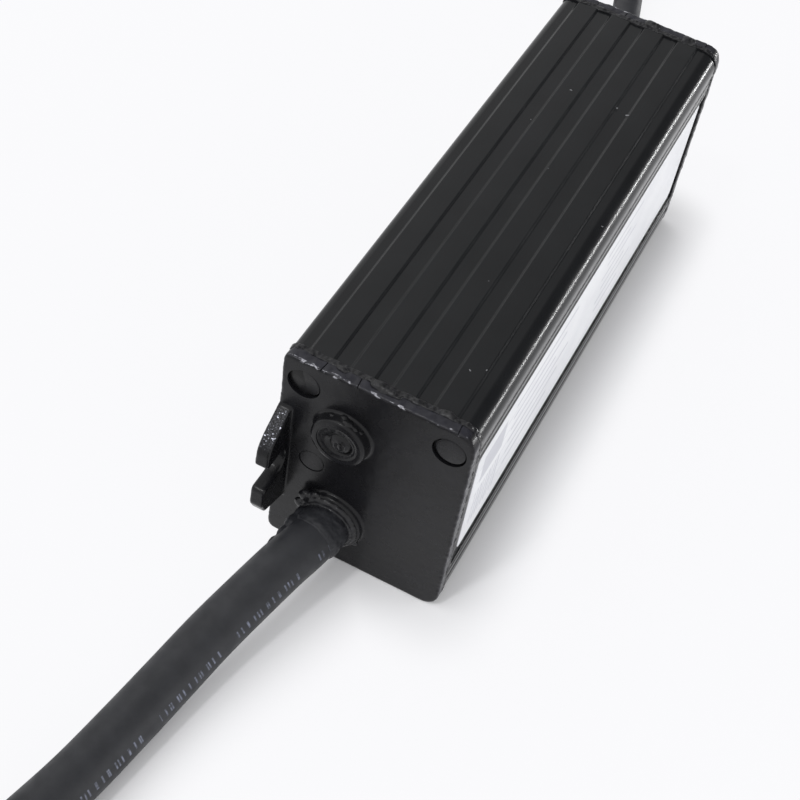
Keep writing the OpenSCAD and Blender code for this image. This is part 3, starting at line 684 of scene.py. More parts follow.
@dataclass(frozen=True)
class PrintedRubber(Finish):
    """Black rubber jacket with groups of faint, worn strokes; it reads its piece's own UV map.

    Attributes:
        turn: Where the row lies round the cable, from 0 to 1.
        width: How wide the row is, as a share of the way round.
        pitch: From one group of strokes to the next.
        ink: The strokes' colour.
    """

    turn: float = 0.437
    width: float = 0.052
    pitch: float = 15 * MM
    ink: str = "#767b8c"

    def colours(self, tree: bpy.types.NodeTree, place: Socket) -> Socket:
        """Prints strokes across a row along the jacket."""
        tube = add_node(tree, "ShaderNodeUVMap", uv_map="UVMap").outputs[0]
        split = add_node(tree, "ShaderNodeSeparateXYZ", {0: tube})
        along, round_it = split.outputs["X"], split.outputs["Y"]
        row = self.inside(tree, round_it, self.turn - self.width / 2, self.turn + self.width / 2, 0.006)
        cell = self.sums(tree, "FLOORED_MODULO", along, self.pitch)
        group = self.inside(tree, cell, 1.2 * MM, self.pitch - 2.2 * MM, 0.1 * MM)
        first = self.inside(tree, self.sums(tree, "FLOORED_MODULO", along, 1.15 * MM), 0.2 * MM, 0.42 * MM,
                            0.12 * MM)
        second = self.inside(tree, self.sums(tree, "FLOORED_MODULO", along, 1.9 * MM), 0.9 * MM, 1.1 * MM,
                             0.12 * MM)
        strokes = self.sums(tree, "MAXIMUM", first, second)
        mark = self.sums(tree, "MULTIPLY", row, self.sums(tree, "MULTIPLY", group, strokes))
        worn = self.spread(tree, self.noise(tree, place, 0.7 * MM, 3), 0.15, 0.9)
        return self.blend(tree, self.sums(tree, "MULTIPLY", mark, worn), Finish.colours(self, tree, place),
                          linear(self.ink))


@dataclass(frozen=True)
class StripedInsulation(Finish):
    """Two-coloured insulation: one stripe runs along each side of the core; it reads its piece's own UV map."""

    def colours(self, tree: bpy.types.NodeTree, place: Socket) -> Socket:
        """Lays the stripes."""
        tube = add_node(tree, "ShaderNodeUVMap", uv_map="UVMap").outputs[0]
        split = add_node(tree, "ShaderNodeSeparateXYZ", {0: tube})
        half = self.sums(tree, "FLOORED_MODULO", split.outputs["Y"], 0.5)
        return self.blend(tree, self.inside(tree, half, 0.12, 0.4, 0.02), linear(self.colour), linear(self.shade))


# Black coat on extruded aluminium, satin: it mirrors a light room as a soft grey.
CASE_COAT = CoatedExtrusion("coated_aluminium_extrusion", "#111214", "#151618", 7 * MM, (0.2, 0.25), 0.35 * MM,
                            0.001 * MM, ior=1.34)
# Black paint on a cast plate: smoother and a little glossier than the case, with orange peel, painted glints on the
# ears, painted highlights along the rim's front edge and a rim lightened by dust and painted sheen.
PLATE_PAINT = CastPaint("painted_die_casting", "#101012", "#131316", 5 * MM, (0.22, 0.3), 0.35 * MM,
                        0.0025 * MM, ior=1.31)
# Sealant squeezed into a seam and smeared by hand: wet gloss with soft lumps.
SEALANT = SmearedSealant("silicone_sealant", "#131315", "#1d1d20", 0.8 * MM, (0.24, 0.42), 0.5 * MM, 0.008 * MM,
                         ior=1.38)
# Filler pressed over the screws, painted with the plate, with painted shade darkening it towards the holes' bottoms.
SCREW_FILLER = SunkFiller("painted_filler", "#151517", "#19191c", 1.5 * MM, (0.24, 0.34), 0.3 * MM,
                          0.004 * MM, ior=1.31)
# Potting compound that set in the fill port.
PORT_COMPOUND = StirredCompound("set_port_compound", "#111113", "#161618", 1.2 * MM, (0.2, 0.32), 0.3 * MM,
                                0.003 * MM, ior=1.32)
# Moulded rubber grommet.
GROMMET_RUBBER = Finish("moulded_rubber", "#141415", "#1b1b1c", 2 * MM, (0.5, 0.65), 0.2 * MM, 0.006 * MM)
# Extruded rubber jacket, matte, with talc left in its pores.
CABLE_RUBBER = PrintedRubber("rubber_jacket", "#1e1f23", "#25262a", 3 * MM, (0.46, 0.6), 0.25 * MM, 0.004 * MM,
                             ior=1.4)
# The label: smooth white film.
LABEL_FILM = PrintedFilm("polyester_label", "#d6d7da", "#cfd0d4", 8 * MM, (0.4, 0.5), 0.5 * MM, 0.001 * MM)

# Finishes of the leads' ends and of what is sealed inside, one for each slot of the record.
PLAIN_FINISHES: dict[str, Finish] = {
    "zinc_steel": Finish("zinc_plated_steel", "#b8b9bd", "#a6a7ab", 1 * MM, (0.22, 0.34), 0.1 * MM, 0.002 * MM,
                         metallic=1.0),
    "brown_insulation": Finish("brown_pvc_insulation", "#5d3824", "#66402b", 2 * MM, (0.36, 0.46), 0.2 * MM),
    "blue_insulation": Finish("blue_pvc_insulation", "#23489a", "#2b52a6", 2 * MM, (0.36, 0.46), 0.2 * MM),
    "green_yellow_insulation": StripedInsulation("striped_pvc_insulation", "#3c8f3a", "#d9c22e", 2 * MM,
                                                 (0.36, 0.46), 0.2 * MM),
    "red_insulation": Finish("red_pvc_insulation", "#9c1f1c", "#a92823", 2 * MM, (0.36, 0.46), 0.2 * MM),
    "black_insulation": Finish("black_pvc_insulation", "#141416", "#1b1b1d", 2 * MM, (0.36, 0.46), 0.2 * MM),
    "tinned_copper": Finish("tinned_copper_strand", "#b9bbbf", "#a5a7ac", 0.5 * MM, (0.2, 0.34), 0.1 * MM,
                            0.002 * MM, metallic=1.0),
    "tie_nylon": Finish("moulded_nylon", "#131314", "#1a1a1b", 2 * MM, (0.4, 0.5), 0.2 * MM),
    "board_laminate": Finish("glass_epoxy_laminate", "#1f5a2c", "#276634", 1 * MM, (0.38, 0.5), 0.4 * MM),
    "fuse_body": Finish("fuse_ceramic", "#d5cbb2", "#cbc1a8", 1 * MM, (0.3, 0.4), 0.2 * MM),
    "blue_coating": Finish("dipped_epoxy_coating", "#1f4596", "#274ea2", 1 * MM, (0.2, 0.3), 0.6 * MM, 0.01 * MM),
    "yellow_box": Finish("capacitor_box_plastic", "#d6bb3a", "#cdb234", 2 * MM, (0.3, 0.4), 0.2 * MM),
    "ferrite": Finish("sintered_ferrite", "#38383b", "#404044", 0.8 * MM, (0.6, 0.75), 0.15 * MM, 0.01 * MM),
    "enamelled_copper": Finish("enamelled_copper_wire", "#b0622d", "#9f5626", 0.6 * MM, (0.25, 0.36), 0.4 * MM,
                               0.06 * MM, (1, 6, 1), 0.6),
    "winding_tape": Finish("polyester_winding_tape", "#d9b23a", "#cfa932", 2 * MM, (0.22, 0.34), 0.4 * MM),
    "bobbin_plastic": Finish("phenolic_bobbin", "#232326", "#2a2a2d", 2 * MM, (0.4, 0.5), 0.2 * MM),
    "black_epoxy": Finish("moulded_epoxy_package", "#1a1a1c", "#222224", 1 * MM, (0.45, 0.58), 0.15 * MM),
    "can_sleeve": Finish("capacitor_sleeve", "#1b1b36", "#22223f", 2 * MM, (0.22, 0.32), 0.4 * MM),
    "chip_body": Finish("thick_film_resistor", "#262626", "#303030", 0.5 * MM, (0.4, 0.5), 0.1 * MM),
    "thermal_pad": Finish("silicone_heat_pad", "#949ea8", "#8b959f", 1 * MM, (0.6, 0.7), 0.2 * MM, 0.01 * MM),
    "solder": Finish("solder_fillet", "#bfc0c4", "#acadb1", 0.4 * MM, (0.16, 0.3), 0.2 * MM, 0.004 * MM,
                     metallic=1.0),
    "insulating_film": Finish("insulating_film", "#e1e0d6", "#d8d7cd", 3 * MM, (0.5, 0.6), 0.3 * MM),
    "potting": Finish("potting_resin", "#3e3e41", "#464649", 2 * MM, (0.55, 0.68), 0.3 * MM, 0.02 * MM),
    "grommet_rubber": GROMMET_RUBBER,
    "seam_sealant": SEALANT,
    "screw_filler": SCREW_FILLER,
    "port_compound": PORT_COMPOUND,
    "cable_rubber": CABLE_RUBBER,
    "case_finish": CASE_COAT,
    "plate_paint": PLATE_PAINT,
    "label_film": LABEL_FILM,
}


# The case


@dataclass
class Case:
    """The extruded case, with raised bands, fine lines and the label's recess.

    Attributes:
        half_width: Half its width.
        height: Its height over the raised bands.
        half_length: From its middle to the seam.
        wall: Its wall.
        round_label: Radius of the corners on the label side.
        round_mount: Radius of the corners on the mounting side.
        band_width: Width of a raised band.
        band_pitch: From one band to the next.
        band_aside: How far the bands lie towards the mounting side.
        band_height: Height of the bands.
        band_flank: Width of their flanks.
        line_width: Width of a fine line.
        line_pitch: From one fine line to the next.
        line_depth: Depth of the fine lines.
        recess_height: Height of the label's recess.
        recess_depth: Depth of the recess.
    """

    half_width: float = 13.5 * MM
    height: float = 37.2 * MM
    half_length: float = 45.2 * MM
    wall: float = 1.6 * MM
    round_label: float = 2.5 * MM
    round_mount: float = 1.2 * MM
    band_width: float = 3.7 * MM
    band_pitch: float = 5.8 * MM
    band_aside: float = 0.6 * MM
    band_height: float = 0.25 * MM
    band_flank: float = 0.3 * MM
    line_width: float = 0.9 * MM
    line_pitch: float = 2.0 * MM
    line_depth: float = 0.25 * MM
    recess_height: float = 22.6 * MM
    recess_depth: float = 0.3 * MM

    def round_corners(self, piece: Piece) -> None:
        """Rounds the four long corners."""
        for side, radius in ((1, self.round_label), (-1, self.round_mount)):
            pick(piece, Part.EDGES, lambda e, s=side: s * middle(e).x > self.half_width - 0.01 * MM
                 and abs(e.verts[0].co.y - e.verts[1].co.y) > self.half_length)
            bpy.ops.mesh.bevel(offset=radius, segments=12, profile=0.5, affect="EDGES")

    def raise_bands(self, piece: Piece) -> None:
        """Cuts the bands' edges in, then lifts the bands out of the top and bottom faces."""
        mid = self.height / 2
        for i in range(4):
            x = (i - 1.5) * self.band_pitch - self.band_aside
            reach = self.band_width / 2
            for place in (x - reach, x - reach + self.band_flank, x + reach - self.band_flank, x + reach):
                bisect((place, 0, mid), (1, 0, 0))
        crest = self.band_width / 2 - self.band_flank + 0.01 * MM
        for side in (1, -1):
            pick(piece, Part.POINTS, lambda v, s=side: s * (v.co.z - mid) > mid - self.band_height - 0.01 * MM
                 and any(abs(v.co.x - ((i - 1.5) * self.band_pitch - self.band_aside)) < crest for i in range(4)))
            bpy.ops.transform.translate(value=(0, 0, side * self.band_height))

    def sink_side(self, piece: Piece) -> None:
        """Sinks the fine lines and the label's recess into the label side."""
        mid = self.height / 2
        flank = self.line_width / 3
        sunk: list[tuple[float, float, float]] = []
        for side in (1, -1):
            for i in range(2):
                z = mid + side * (self.recess_height / 2 + self.line_width + i * self.line_pitch)
                sunk.append((z, self.line_width / 2 - flank, self.line_depth))
                for place in (z - self.line_width / 2, z - self.line_width / 2 + flank,
                              z + self.line_width / 2 - flank, z + self.line_width / 2):
                    bisect((0, 0, place), (0, 0, 1))
        step = 0.08 * MM
        for side in (1, -1):
            for place in (self.recess_height / 2, self.recess_height / 2 - step):
                bisect((0, 0, mid + side * place), (0, 0, 1))
        sunk.append((mid, self.recess_height / 2 - step, self.recess_depth))
        for z, reach, depth in sunk:
            pick(piece, Part.POINTS, lambda v, z=z, reach=reach: v.co.x > self.half_width - 0.01 * MM
                 and abs(v.co.z - z) < reach + 0.01 * MM)
            bpy.ops.transform.translate(value=(-depth, 0, 0))

    def build(self) -> Piece:
        """Shapes the case from a block and hollows it."""
        inset = self.band_height
        piece = add_block("case_shell", (-self.half_width, -self.half_length, inset),
                          (self.half_width, self.half_length, self.height - inset))
        with editing(piece):
            self.round_corners(piece)
            self.raise_bands(piece)
            self.sink_side(piece)
        cav = self.half_width - self.wall
        cut_away(piece, add_block("hollow", (-cav, -2 * self.half_length, self.wall),
                                  (cav, 2 * self.half_length, self.height - self.wall)))
        apply_modifier(piece, "BEVEL", width=0.07 * MM, segments=2, limit_method="ANGLE",
                       angle_limit=math.radians(28), use_clamp_overlap=True)
        smooth(piece, 40)
        apply_modifier(piece, "WEIGHTED_NORMAL", keep_sharp=True, weight=80)
        return ready(piece, CASE_COAT, "case_finish", "case")


@dataclass
class Dust:
    """Flecks of dust and paint on the case's top.

    Attributes:
        places: Each fleck's place on the top and its length.
        height: The top's height.
    """

    places: tuple[tuple[float, float, float], ...] = (
        (-3.22, 22.9, 0.42), (4.35, 23.1, 0.34), (6.3, 22.4, 0.62), (7.7, -37.3, 0.4), (9.5, -36.1, 0.3),
        (12.2, -2.7, 0.3), (0.9, 4.2, 0.2), (3.1, -21.5, 0.22), (-5.6, 12.8, 0.2))
    height: float = 37.2 * MM

    def build(self) -> Piece:
        """Presses each fleck from a small ball and turns it its own way."""
        flecks = []
        for i, (x, y, length) in enumerate(self.places):
            bpy.ops.object.select_all(action="DESELECT")
            bpy.ops.mesh.primitive_ico_sphere_add(
                subdivisions=2, radius=length * MM / 2, location=(x * MM, y * MM, self.height + 0.01 * MM),
                rotation=(0, 0, 1.9 * i), scale=(1, 0.45, 0.16))
            fleck = bpy.context.active_object
            bpy.ops.object.transform_apply(location=True, rotation=True, scale=True)
            flecks.append(fleck)
        piece = join("dust_flecks", flecks)
        swell(piece, 0.15 * MM, 0.05 * MM)
        smooth(piece, 60)
        # Lint and paint dust: matte pale grey.
        lint = Finish("lint_and_dust", "#6e6f72", "#8a8b8e", 0.3 * MM, (0.7, 0.85), 0.1 * MM, 0.01 * MM)
        return ready(piece, lint, "case_finish")


@dataclass
class Label:
    """The label in its recess, with plain fields in place of its print.

    Attributes:
        face_x: Its outer face.
        thick: Its thickness.
        half_length: Half its length.
        low: Its lower edge.
        high: Its upper edge.
    """

    face_x: float = 13.32 * MM
    thick: float = 0.12 * MM
    half_length: float = 43.3 * MM
    low: float = 8.95 * MM
    high: float = 29.05 * MM

    def fields(self) -> tuple[tuple[float, float, float, float], ...]:
        """Lays out the generic fields: a block at the input end, rows of rules and a table's lines."""
        rows = []
        for i in range(6):
            z = (26.2 - 2.5 * i) * MM
            rows.append((-30 * MM, (-8 - 3 * (i % 3)) * MM, z - 0.35 * MM, z + 0.35 * MM))
            rows.append(((4 + i % 2) * MM, (19 - 4 * (i % 2)) * MM, z - 0.3 * MM, z + 0.3 * MM))
        for i in range(9):
            y = (-40.8 + 0.95 * i) * MM
            rows.append((y, y + (0.3 + 0.12 * (i % 3)) * MM, 12 * MM, 19 * MM))
        rows.append((-40.5 * MM, -33 * MM, 21 * MM, 26.6 * MM))
        for i in range(5):
            rows.append((-41.5 * MM, (-30 + 1.7 * i) * MM, (13.2 + 2.9 * i) * MM, (13.42 + 2.9 * i) * MM))
        rows.append((-30 * MM, 40 * MM, 10.6 * MM, 10.85 * MM))
        return tuple(rows)

    def build(self) -> Piece:
        """Shapes the label from a thin block with rounded corners."""
        piece = add_block("label_sheet", (self.face_x - self.thick, -self.half_length, self.low),
                          (self.face_x, self.half_length, self.high))
        with editing(piece):
            pick(piece, Part.EDGES, lambda e: abs(e.verts[0].co.x - e.verts[1].co.x) > self.thick / 2)
            bpy.ops.mesh.bevel(offset=1.2 * MM, segments=6, profile=0.5, affect="EDGES")
            pick(piece, Part.FACES, lambda f: f.normal.x > 0.9)
            bpy.ops.mesh.inset(thickness=0.03 * MM, depth=0.0)
            bpy.ops.transform.translate(value=(0.01 * MM, 0, 0))
        smooth(piece, 30)
        film = PrintedFilm(LABEL_FILM.name, LABEL_FILM.colour, LABEL_FILM.shade, LABEL_FILM.patch, LABEL_FILM.rough,
                           LABEL_FILM.grain, LABEL_FILM.relief, fields=self.fields())
        return ready(piece, film, "label_film", "side_label")


# The ends


@dataclass
class EndPlate:
    """A cast end plate: rim, spigot, fill boss, cable collar and mounting ear, built for the input end.

    Attributes:
        end: The end that it closes.
        half_width: Half the rim's width.
        height: The rim's height.
        face: How far out the plate's face lies.
        thick: The rim's thickness.
        round_label: Radius of the corners on the label side.
        round_mount: Radius of the corners on the mounting side.
        screw: Place of a plate screw, across and up.
        screw_radius: Radius of a screw's hole.
        port: Axis of the fill port, across and up.
        boss_radius: The boss's radius at its face.
        boss_height: How far the boss stands out.
        pocket_radius: Radius of the boss's pocket.
        pocket_depth: Depth of the pocket.
        mark: Place of the round mark, across and up.
        mark_radius: Radius of the mark.
        cable: Axis of the cable, across and up.
        collar_radius: Radius of the collar.
        collar_height: How far the collar stands out.
        bore_radius: Radius of the collar's bore.
        ear_thick: Thickness of the ear.
        ear_reach: How far the ear stands out.
        ear_middle: Height of the ear's middle.
        ear_root: Height of the ear at the plate.
        ear_tip: Height of the ear at its tip.
        slot_radius: Half the slot's width.
        slot_in: Distance of the slot's round end from the plate.
        lobe_out: How much further the ear's lower lobe stands out than the upper one.
        lobe_drop: How far the lower lobe's slope rises from the plate to its tip.
        cracks: Places across the rim where its paint has cracked.
        voxel: Size of the casting's faces.
    """

    end: End
    half_width: float = 13.5 * MM
    height: float = 37.2 * MM
    face: float = 47.5 * MM
    thick: float = 1.8 * MM
    round_label: float = 2.5 * MM
    round_mount: float = 1.2 * MM
    screw: tuple[float, float] = (10.3 * MM, 33.1 * MM)
    screw_radius: float = 2.38 * MM
    port: tuple[float, float] = (-4 * MM, 27 * MM)
    boss_radius: float = 3.9 * MM
    boss_height: float = 1.8 * MM
    pocket_radius: float = 2.9 * MM
    pocket_depth: float = 1.4 * MM
    mark: tuple[float, float] = (-7.9 * MM, 18.8 * MM)
    mark_radius: float = 1.9 * MM
    cable: tuple[float, float] = (-4 * MM, 9 * MM)
    collar_radius: float = 4.9 * MM
    collar_height: float = 1.0 * MM
    bore_radius: float = 4.4 * MM
    ear_thick: float = 2.0 * MM
    ear_reach: float = 5.4 * MM
    ear_middle: float = 18.2 * MM
    ear_root: float = 18.8 * MM
    ear_tip: float = 14.0 * MM
    slot_radius: float = 2.15 * MM
    slot_in: float = 0.5 * MM
    lobe_out: float = 0.9 * MM
    lobe_drop: float = 2.2 * MM
    cracks: tuple[float, ...] = (-7.2 * MM, -0.8 * MM, 6.7 * MM)
    voxel: float = 0.18 * MM

    def rim(self) -> Piece:
        """Shapes the rim from a block with rounded corners and softened outer edges."""
        piece = add_block("rim", (-self.half_width, -self.face, 0), (self.half_width, self.thick - self.face,
                                                                    self.height))
        with editing(piece):
            for side, radius in ((1, self.round_label), (-1, self.round_mount)):
                pick(piece, Part.EDGES, lambda e, s=side: s * middle(e).x > self.half_width - 0.01 * MM
                     and abs(e.verts[0].co.y - e.verts[1].co.y) > self.thick / 2)
                bpy.ops.mesh.bevel(offset=radius, segments=10, profile=0.5, affect="EDGES")
            pick(piece, Part.FACES, lambda f: f.normal.y < -0.9)
            bpy.ops.mesh.bevel(offset=0.2 * MM, segments=2, profile=0.5, affect="EDGES")
        return piece

    def ear(self) -> Piece:
        """Shapes the ear from a block: its sloping shoulders are cut off and its slot is cut out."""
        x0 = -self.half_width
        tip_y = -self.face - self.ear_reach
        low_y = tip_y - self.lobe_out
        piece = add_block("ear", (x0, low_y, self.ear_middle - self.ear_root / 2),
                          (x0 + self.ear_thick, 0.5 * self.thick - self.face, self.ear_middle + self.ear_root / 2))
        nose = self.ear_tip * 0.12
        drop = (self.ear_root - self.ear_tip) / 2
        top = self.ear_middle + self.ear_root / 2
        foot = self.ear_middle - self.ear_root / 2
        outline = [Vector((0, -self.face, top)), Vector((0, tip_y + nose, top - drop)),
                   Vector((0, tip_y, top - drop - nose)), Vector((0, low_y, foot + self.lobe_drop + 1.9 * MM)),
                   Vector((0, low_y + 0.9 * MM, foot + self.lobe_drop)), Vector((0, -self.face, foot))]
        out = -self.face - 0.5 * self.ear_reach
        with editing(piece):
            for a, b in zip(outline, outline[1:]):
                along = b - a
                bisect(a, (0, along.z, -along.y), clear=True)
            for side, radius in ((1, 1.05 * MM), (-1, 0.35 * MM)):
                pick(piece, Part.EDGES, lambda e, s=side: middle(e).y < out
                     and abs(e.verts[0].co.x - e.verts[1].co.x) > MM and s * (middle(e).z - self.ear_middle) > 0)
                bpy.ops.mesh.bevel(offset=radius, segments=6, profile=0.5, affect="EDGES")
        slot_y = -self.face - self.slot_in - self.slot_radius
        bpy.ops.object.select_all(action="DESELECT")
        bpy.ops.mesh.primitive_cylinder_add(vertices=48, radius=self.slot_radius, depth=4 * self.ear_thick,
                                            location=(x0, slot_y, self.ear_middle), rotation=(0, math.pi / 2, 0))
        hole = bpy.context.active_object
        bpy.ops.object.transform_apply(location=True, rotation=True, scale=True)
        mouth = add_block("mouth", (x0 - self.ear_thick, slot_y - 2 * self.ear_reach,
                                    self.ear_middle - self.slot_radius),
                          (x0 + 2 * self.ear_thick, slot_y, self.ear_middle + self.slot_radius))
        cut_away(piece, hole, mouth)
        with editing(piece):
            pick(piece, Part.EDGES, lambda e: middle(e).y < tip_y + 0.3 * MM
                 and abs(e.verts[0].co.x - e.verts[1].co.x) > MM
                 and abs(abs(middle(e).z - self.ear_middle) - self.slot_radius) < 0.1 * MM)
            bpy.ops.mesh.bevel(offset=0.5 * MM, segments=5, profile=0.5, affect="EDGES")
        apply_modifier(piece, "BEVEL", width=0.22 * MM, segments=2, limit_method="ANGLE",
                       angle_limit=math.radians(40))
        return piece

    def casting(self) -> Piece:
        """Melts rim, boss, collar and ear into one casting with soft inner corners."""
        boss = add_drum("boss", *self.port, -self.face - self.boss_height, 0.3 * MM - self.face, self.boss_radius,
                        self.boss_radius + 0.3 * MM)
        collar = add_drum("collar", *self.cable, -self.face - self.collar_height, 0.3 * MM - self.face,
                          self.collar_radius, self.collar_radius + 0.2 * MM)
        for drum in (boss, collar):
            with editing(drum):
                pick(drum, Part.FACES, lambda f: f.normal.y < -0.9)
                bpy.ops.mesh.bevel(offset=0.3 * MM, segments=3, profile=0.5, affect="EDGES")
        spigot = add_block("spigot", (-11.75 * MM, self.thick - self.face - 0.2 * MM, 2.95 * MM),
                           (11.75 * MM, -44.0 * MM, 30.6 * MM))
        piece = join(f"{self.end.name.lower()}_plate_casting", [self.rim(), boss, collar, spigot, self.ear()])
        melt(piece, self.voxel, 3)
        return piece

    def roughen(self, piece: Piece) -> None:
        """Makes the paint uneven: a little on the face, more over the rim's outer sides."""
        edge = self.half_width - 0.35 * MM

        def rim(at: Vector, out: Vector) -> float:
            """Weighs the rim's outer sides."""
            over = max(abs(at.x) - edge, at.z - self.height + 0.35 * MM, 0.0) > 0
            return 1.0 if over and abs(at.y) < self.face + 0.1 * MM else 0.1

        weigh(piece, "rim", rim)
        swell(piece, 1.4 * MM, 0.26 * MM, "rim")

    def bores(self, piece: Piece) -> None:
        """Cuts the screw holes, the pocket and port, the mark and the cable's bore."""
        past = self.face + 3 * MM
        inner = -42 * MM
        for side in (1, -1):
            cut_away(piece, add_drum("hole", side * self.screw[0], self.screw[1], -past, -self.face + 0.9 * MM,
                                     self.screw_radius))
        groove = add_drum("groove", *self.mark, -self.face - 0.3 * MM, -self.face + 0.2 * MM, self.mark_radius)
        cut_away(groove, add_drum("core", *self.mark, -past, inner, self.mark_radius - 0.16 * MM))
        cut_away(
            piece,
            add_drum("pocket", *self.port, -past, -self.face - self.boss_height + self.pocket_depth,
                     self.pocket_radius + 0.15 * MM, self.pocket_radius),
            add_drum("mark", *self.mark, -self.face - 0.3 * MM, -self.face + 0.07 * MM, self.mark_radius),
            groove,
            add_drum("bore", *self.cable, -past, inner, self.bore_radius))
        for i, x in enumerate(self.cracks):
            crack = add_block("crack", (x - 0.07 * MM, -self.face - 0.3 * MM, self.height - 0.3 * MM),
                              (x + 0.07 * MM, -self.face + self.thick, self.height + MM))
            lean = math.radians(14 * (i % 2) - 5)
            crack.data.transform(Matrix.Translation((x, 0, 0)) @ Matrix.Shear("XZ", 4, (lean, 0))
                                 @ Matrix.Translation((-x, 0, 0)))
            cut_away(piece, crack)

    def build(self) -> Piece:
        """Builds the plate and takes it to its end of the case."""
        piece = self.casting()
        self.roughen(piece)
        self.bores(piece)
        rest_on_floor(piece)
        smooth(piece, 50)
        name = self.end.name.lower()
        return ready(turned(piece, self.end), PLATE_PAINT, "plate_paint", f"{name}_end_plate")


@dataclass
class SeamBead:
    """The bead of sealant between a plate and the case, built for the input end.

    Attributes:
        end: The end that it seals.
        lumps: Each lump's place and radius, in millimetres.
        half_width: Half its width over the case's sides.
        height: Its height.
        seam: Where the seam's middle lies along the case.
        wide: How wide the bead is along the case.
        proud: How far it stands out of the seam.
    """

    end: End
    lumps: tuple[tuple[float, float, float, float], ...] = ()
    half_width: float = 13.5 * MM
    height: float = 37.2 * MM
    seam: float = 45.5 * MM
    wide: float = 0.9 * MM
    proud: float = 0.06 * MM

    def build(self) -> Piece:
        """Shapes a frame-like ring, adds the lumps, melts them together and makes them uneven."""
        reach = self.half_width + self.proud
        y0, y1 = -self.seam - self.wide / 2, -self.seam + self.wide / 2
        ring = add_block("ring", (-reach, y0, -self.proud), (reach, y1, self.height + self.proud))
        with editing(ring):
            for side, radius in ((1, 2.5 * MM), (-1, 1.2 * MM)):
                pick(ring, Part.EDGES, lambda e, s=side: s * middle(e).x > self.half_width
                     and abs(e.verts[0].co.y - e.verts[1].co.y) > self.wide / 2)
                bpy.ops.mesh.bevel(offset=radius, segments=8, profile=0.5, affect="EDGES")
        inner = self.half_width - 0.8 * MM
        cut_away(ring, add_block("inside", (-inner, 2 * y0, 0.8 * MM), (inner, 0, self.height - 0.8 * MM)))
        pieces = [ring]
        for x, y, z, radius in self.lumps:
            pieces.append(add_ball((x * MM, y * MM, z * MM), radius * MM, (1.5, 0.8, 0.55)))
        name = self.end.name.lower()
        piece = join(f"{name}_seam_bead", pieces)
        melt(piece, 0.14 * MM, 2)
        swell(piece, 1.3 * MM, 0.26 * MM)
        swell(piece, 0.45 * MM, 0.2 * MM)
        rest_on_floor(piece)
        smooth(piece, 60)
        return ready(turned(piece, self.end), SEALANT, "seam_sealant", f"{name}_seal")


@dataclass
class Fillers:
    """The fillers over the two plate screws, built for the input end: each sits askew in its hole.

    Attributes:
        end: The end that they belong to.
        screw: Place of a plate screw, across and up.
        radius: Radius of a filler's cap.
        hole_radius: Radius of the screw's hole.
        face: How far out the plate's face lies.
    """

    end: End
    screw: tuple[float, float] = (10.3 * MM, 33.1 * MM)
    radius: float = 2.1 * MM
    hole_radius: float = 2.38 * MM
    face: float = 47.5 * MM

    def build(self) -> Piece:
        """Shapes each filler from a short bar with a soft rim, tips it and shifts it in its hole."""
        pieces = []
        for side, aside, rise, lean_x, lean_z in ((1, 0.12, 0.17, 0.03, 0.02), (-1, 0.14, 0.0, 0.16, 0.05)):
            x, z = side * self.screw[0] + aside * MM, self.screw[1] + rise * MM
            disc = add_drum("disc", x, z, -self.face, -self.face + 0.85 * MM, self.radius, sides=48)
            with editing(disc):
                pick(disc, Part.FACES, lambda f: f.normal.y < -0.9)
                bpy.ops.mesh.inset(thickness=0.25 * MM, depth=0.0)
                bpy.ops.transform.translate(value=(0, -0.04 * MM, 0))
            lean = Matrix.Shear("XZ", 4, (0, 0))
            lean[1][0], lean[1][2] = -lean_x, -lean_z
            at = Matrix.Translation((x + self.radius, 0, z + self.radius))
            disc.data.transform(at @ lean @ at.inverted())
            pieces.append(disc)
            # A lower disc deep in the hole, which the filler's painted shade makes near black.
            pieces.append(add_drum("base", side * self.screw[0], self.screw[1], -self.face + 0.42 * MM,
                                   -self.face + 0.86 * MM, self.hole_radius - 0.03 * MM, sides=48))
        name = self.end.name.lower()
        piece = join(f"{name}_screw_caps", pieces)
        apply_modifier(piece, "BEVEL", width=0.08 * MM, segments=2, limit_method="ANGLE",
                       angle_limit=math.radians(40))
        smooth(piece, 40)
        return ready(turned(piece, self.end), SCREW_FILLER, "screw_filler", f"{name}_screw_fillers")


